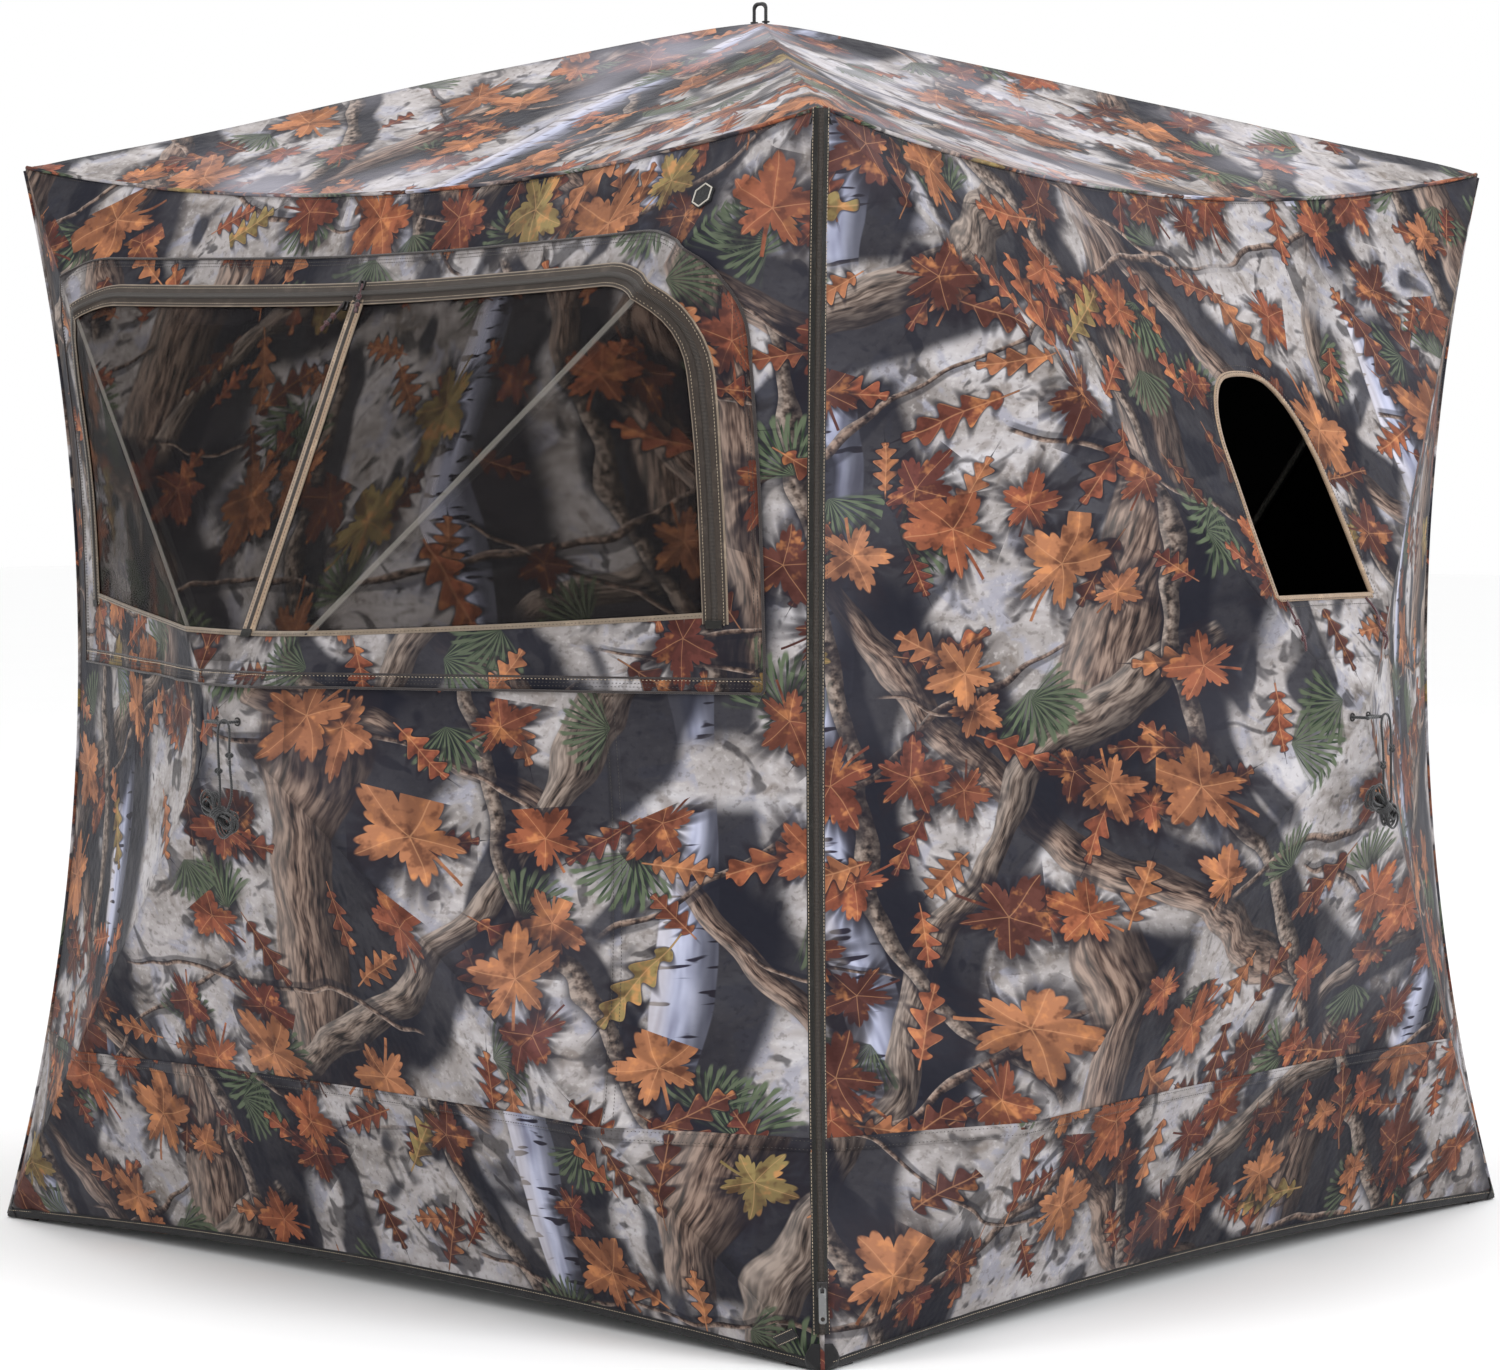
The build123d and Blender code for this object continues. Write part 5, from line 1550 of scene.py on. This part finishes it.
def pocket_strap(name, tip, d, corner):
    """The pocket's tail, sewn into the corner of the cloth."""
    to = (np.array(corner) - tip) / np.linalg.norm(np.array(corner) - tip)
    a, b = tip + to * (0.019 if name[-2] == "t" else 0.0115), tip + (np.array(corner) - tip) * 0.72
    ax = (b - a) / np.linalg.norm(b - a)
    wd = np.cross(ax, np.cross(d, (0, 0, 1.0)))
    wd = np.cross(ax, wd)
    wd /= np.linalg.norm(wd)
    th = np.cross(ax, wd)
    V_, UV, tris = [], [], []
    n, m = 10, 5
    L = np.linalg.norm(b - a)
    for i in range(n):
        f = i / (n - 1)
        for j in range(m):
            g = j / (m - 1) - 0.5
            V_.append(a + ax * L * f + wd * g * 0.012 + th * (0.0012 * math.sin(f * 9) + 0.0008 * math.cos(g * 6)))
            UV.append((L * f, g * 0.012))
    for i in range(n - 1):
        for j in range(m - 1):
            q = i * m + j
            tris += [(q, q + m, q + m + 1), (q, q + m + 1, q + 1)]
    top_ = np.array(V_)
    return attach(two_sided(name, top_, top_ - th * 0.0011, np.array(tris), [M["webbing"]], np.array(UV)), "shell")


for k, w in enumerate(WALLS):
    for c, (pin, d, L) in TIPS.items():
        pin_k, d_k = spin(np.array(pin), k), spin(np.array(d), k)
        cup(f"pocket_{w}_{c}", pin_k + d_k * L, d_k)
        cn = np.array([(1 if c[1] == "r" else -1) * (A if c[0] == "b" else AT), -(A if c[0] == "b" else AT), 0.0 if c[0] == "b" else H])
        o = pocket_strap(f"pocket_tail_{w}_{c}", pin_k + d_k * L, d_k, spin(cn, k))
        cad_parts[f"pole_{w}_{c}"].data.materials.clear()
        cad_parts[f"pole_{w}_{c}"].data.materials.append(pole_material(f"fibreglass_{w}_{c}", pin_k, d_k, L))
for c, (pin, d, L) in RTIPS.items():
    cup(f"pocket_roof_{c}", np.array(pin) + np.array(d) * L, np.array(d))
    cn = ((1 if c[1] == "r" else -1) * AT, (1 if c[0] == "b" else -1) * AT, H)
    o = pocket_strap(f"pocket_tail_roof_{c}", np.array(pin) + np.array(d) * L, np.array(d), cn)
    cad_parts[f"pole_roof_{c}"].data.materials.clear()
    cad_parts[f"pole_roof_{c}"].data.materials.append(pole_material(f"fibreglass_roof_{c}", pin, d, L))
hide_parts("tip_pockets_lower")
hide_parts("tip_pockets_upper")

# ------------------------------------------------------------------ CAD nodes that show take their finish here
FINISH = {"window_slider_edge": "metal_dark", "window_slider_centre": "metal_dark", "window_zip_stops": "metal_dark",
          "door_slider": "metal_dark", "door_pull": "metal_pull", "badge_blank": "rubber"}
for w in WALLS + ["roof"]:
    FINISH["hub_" + w] = "hub_plastic"
    FINISH["hub_pins_" + w] = "steel"
for n_, f_ in FINISH.items():
    me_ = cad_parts[n_].data
    me_.materials.clear()
    me_.materials.append(M[f_])

# cord pulls on the two window sliders: a doubled cord with a knot, over the CAD pull
for nm, lean in (("window_slider_edge", 16), ("window_slider_centre", -34)):
    lo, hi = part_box(nm)
    co = np.array([v.co[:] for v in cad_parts[nm].data.vertices])
    top_pt = co[co[:, 2].argmax()]
    low_pt = co[co[:, 2].argmin()]
    top_c = co[co[:, 2] > hi[2] - 0.006].mean(0)
    low_c = co[co[:, 2] < lo[2] + 0.004].mean(0)
    ax = low_c - top_c
    L = np.linalg.norm(ax)
    ax /= L
    sidev = np.cross(ax, (0, -1.0, 0))
    sidev /= np.linalg.norm(sidev)
    outv = np.cross(sidev, ax)
    if outv[1] > 0:
        outv = -outv
    ptsA = [top_c + ax * L * f + sidev * 0.0016 * math.sin(f * 7 + ph) + outv * (0.0022 + 0.0006 * math.cos(f * 5 + ph)) for ph in (0.4,) for f in np.linspace(0.12, 1.02, 12)]
    ptsB = [top_c + ax * L * f - sidev * 0.0019 * math.sin(f * 6 + 0.9) + outv * 0.0021 for f in np.linspace(0.12, 1.04, 12)]
    a_ = tube(nm + "_cord_a", cardinal(ptsA, 4), 0.0013, M["cord_maroon"], 8, nm)
    b_ = tube(nm + "_cord_b", cardinal(ptsB, 4), 0.0013, M["cord_maroon"], 8, nm)
    for j, f in enumerate((0.52, 0.80)):
        tube(f"{nm}_knot_{j}", knot(top_c + ax * L * f + outv * 0.0024, sidev, -ax, 0.0032), 0.0014, M["cord_maroon"], 8, nm)

# badge: a raised rim round a blank field, and a woven tab at the foot of the corner
co = np.array([v.co[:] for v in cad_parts["badge_blank"].data.vertices])
cen = co.mean(0)
u_, s_, vt = np.linalg.svd(co - cen)
nb = vt[2] if vt[2][1] < 0 else -vt[2]
front = co[((co - cen) @ nb) > 0]
ctr = front.mean(0)
dirs = front - ctr
rad = np.linalg.norm(dirs, axis=1)
far = front[rad > rad.max() * 0.97]
ang = np.arctan2((far - ctr) @ vt[1], (far - ctr) @ vt[0])
far = far[np.argsort(ang)]
ringb = []
for i in range(len(far)):
    a, b = far[i], far[(i + 1) % len(far)]
    if np.linalg.norm(b - a) > 0.004:
        for t in np.linspace(0, 1, 6, endpoint=False):
            ringb.append(ctr + ((a + (b - a) * t) - ctr) * 0.86 + nb * 0.0003)
ringb.append(ringb[0])
tube("badge_rim", ringb, 0.0010, M["badge_rim"], 8, "shell", caps=False)

co = np.array([v.co[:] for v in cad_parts["corner_tab_blank"].data.vertices])
cen = co.mean(0)
u_, s_, vt = np.linalg.svd(co - cen)
nt = vt[2] if vt[2][1] < 0 else -vt[2]
lx_, ly_ = vt[0], np.cross(nt, vt[0])
nn_ = 26
V_, UV, Fs = [], [], []
for i in range(nn_ + 1):
    for j in range(9):
        a, b = (i / nn_ - 0.5) * 0.040, (j / 8 - 0.5) * 0.014
        lift_ = 0.0010 + 0.0012 * math.sin(i / nn_ * math.pi) * math.cos(b * 90)
        V_.append(cen + lx_ * a + ly_ * b + nt * lift_)
        UV.append((a, b))
for i in range(nn_):
    for j in range(8):
        a = i * 9 + j
        Fs.append((a, a + 9, a + 10, a + 1))
top_ = np.array(V_)
tris = []
for f_ in Fs:
    tris += [(f_[0], f_[1], f_[2]), (f_[0], f_[2], f_[3])]
tab = two_sided("corner_tab_cloth", top_, top_ - nt * 0.0014, np.array(tris), [M["webbing"]], np.array(UV))
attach(tab, "shell")
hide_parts("corner_tab_blank")
for j, e_ in enumerate((-0.0055, 0.0055)):
    P_ = np.array([cen + lx_ * a + ly_ * e_ + nt * (0.0012 + 0.0012 * math.cos(a / 0.020 * math.pi / 2) * math.cos(e_ * 90)) for a in np.linspace(-0.018, 0.018, 20)])
    stitch3d(f"corner_tab_stitch_{j}", P_, ly_, nt, M["thread_tan"], pitch=0.0034, length=0.0022)


# ------------------------------------------------------------------ floor, light, camera
def plane(name, size, z, mat):
    me = bpy.data.meshes.new(name)
    s = size / 2
    me.from_pydata([(-s, -s, z), (s, -s, z), (s, s, z), (-s, s, z)], [], [(0, 1, 2, 3)])
    me.materials.append(mat)
    ob = bpy.data.objects.new(name, me)
    COL.objects.link(ob)
    return ob


plane("floor", 60.0, -0.0005, M["floor"])
world = bpy.data.worlds.new("studio")
bpy.context.scene.world = world
world.use_nodes = True
bg = world.node_tree.nodes["Background"]
bg.inputs[0].default_value = (1.0, 1.0, 1.0, 1)
bg.inputs[1].default_value = 1.0
bpy.context.scene.view_settings.view_transform = "Standard"


def area(name, loc, target, size, power, col=(1, 1, 1)):
    li = bpy.data.lights.new(name, "AREA")
    li.shape = "RECTANGLE"
    li.size, li.size_y = size
    li.energy = power
    li.color = col
    ob = bpy.data.objects.new(name, li)
    COL.objects.link(ob)
    ob.location = loc
    ob.rotation_euler = (Vector(target) - Vector(loc)).to_track_quat("-Z", "Y").to_euler()
    return ob


area("key", (3.2, -6.5, 5.2), (0, 0, 0.9), (3.5, 3.0), 78, (0.98, 0.985, 1.0))
area("right", (7.0, -0.5, 4.2), (0.4, 0, 0.9), (3.0, 3.0), 186, (0.94, 0.97, 1.0))
area("top", (0.5, -0.8, 6.5), (0, 0, 1.0), (4.0, 4.0), 104)

cam = bpy.data.cameras.new("camera")
camo = bpy.data.objects.new("camera", cam)
COL.objects.link(camo)
cam.sensor_fit = "HORIZONTAL"
cam.sensor_width = 36.0
cam.lens = 97.731
cam.clip_end = 100
camo.location = (3.7814, -4.3445, 1.0564)
fwv = Vector((-0.65742, 0.75161, -0.05379)).normalized()
rv = fwv.cross(Vector((0, 0, 1))).normalized()
uv_ = rv.cross(fwv)
camo.matrix_world = Matrix(((rv.x, uv_.x, -fwv.x, 3.7814), (rv.y, uv_.y, -fwv.y, -4.3445), (rv.z, uv_.z, -fwv.z, 1.0564), (0, 0, 0, 1)))
bpy.context.scene.camera = camo
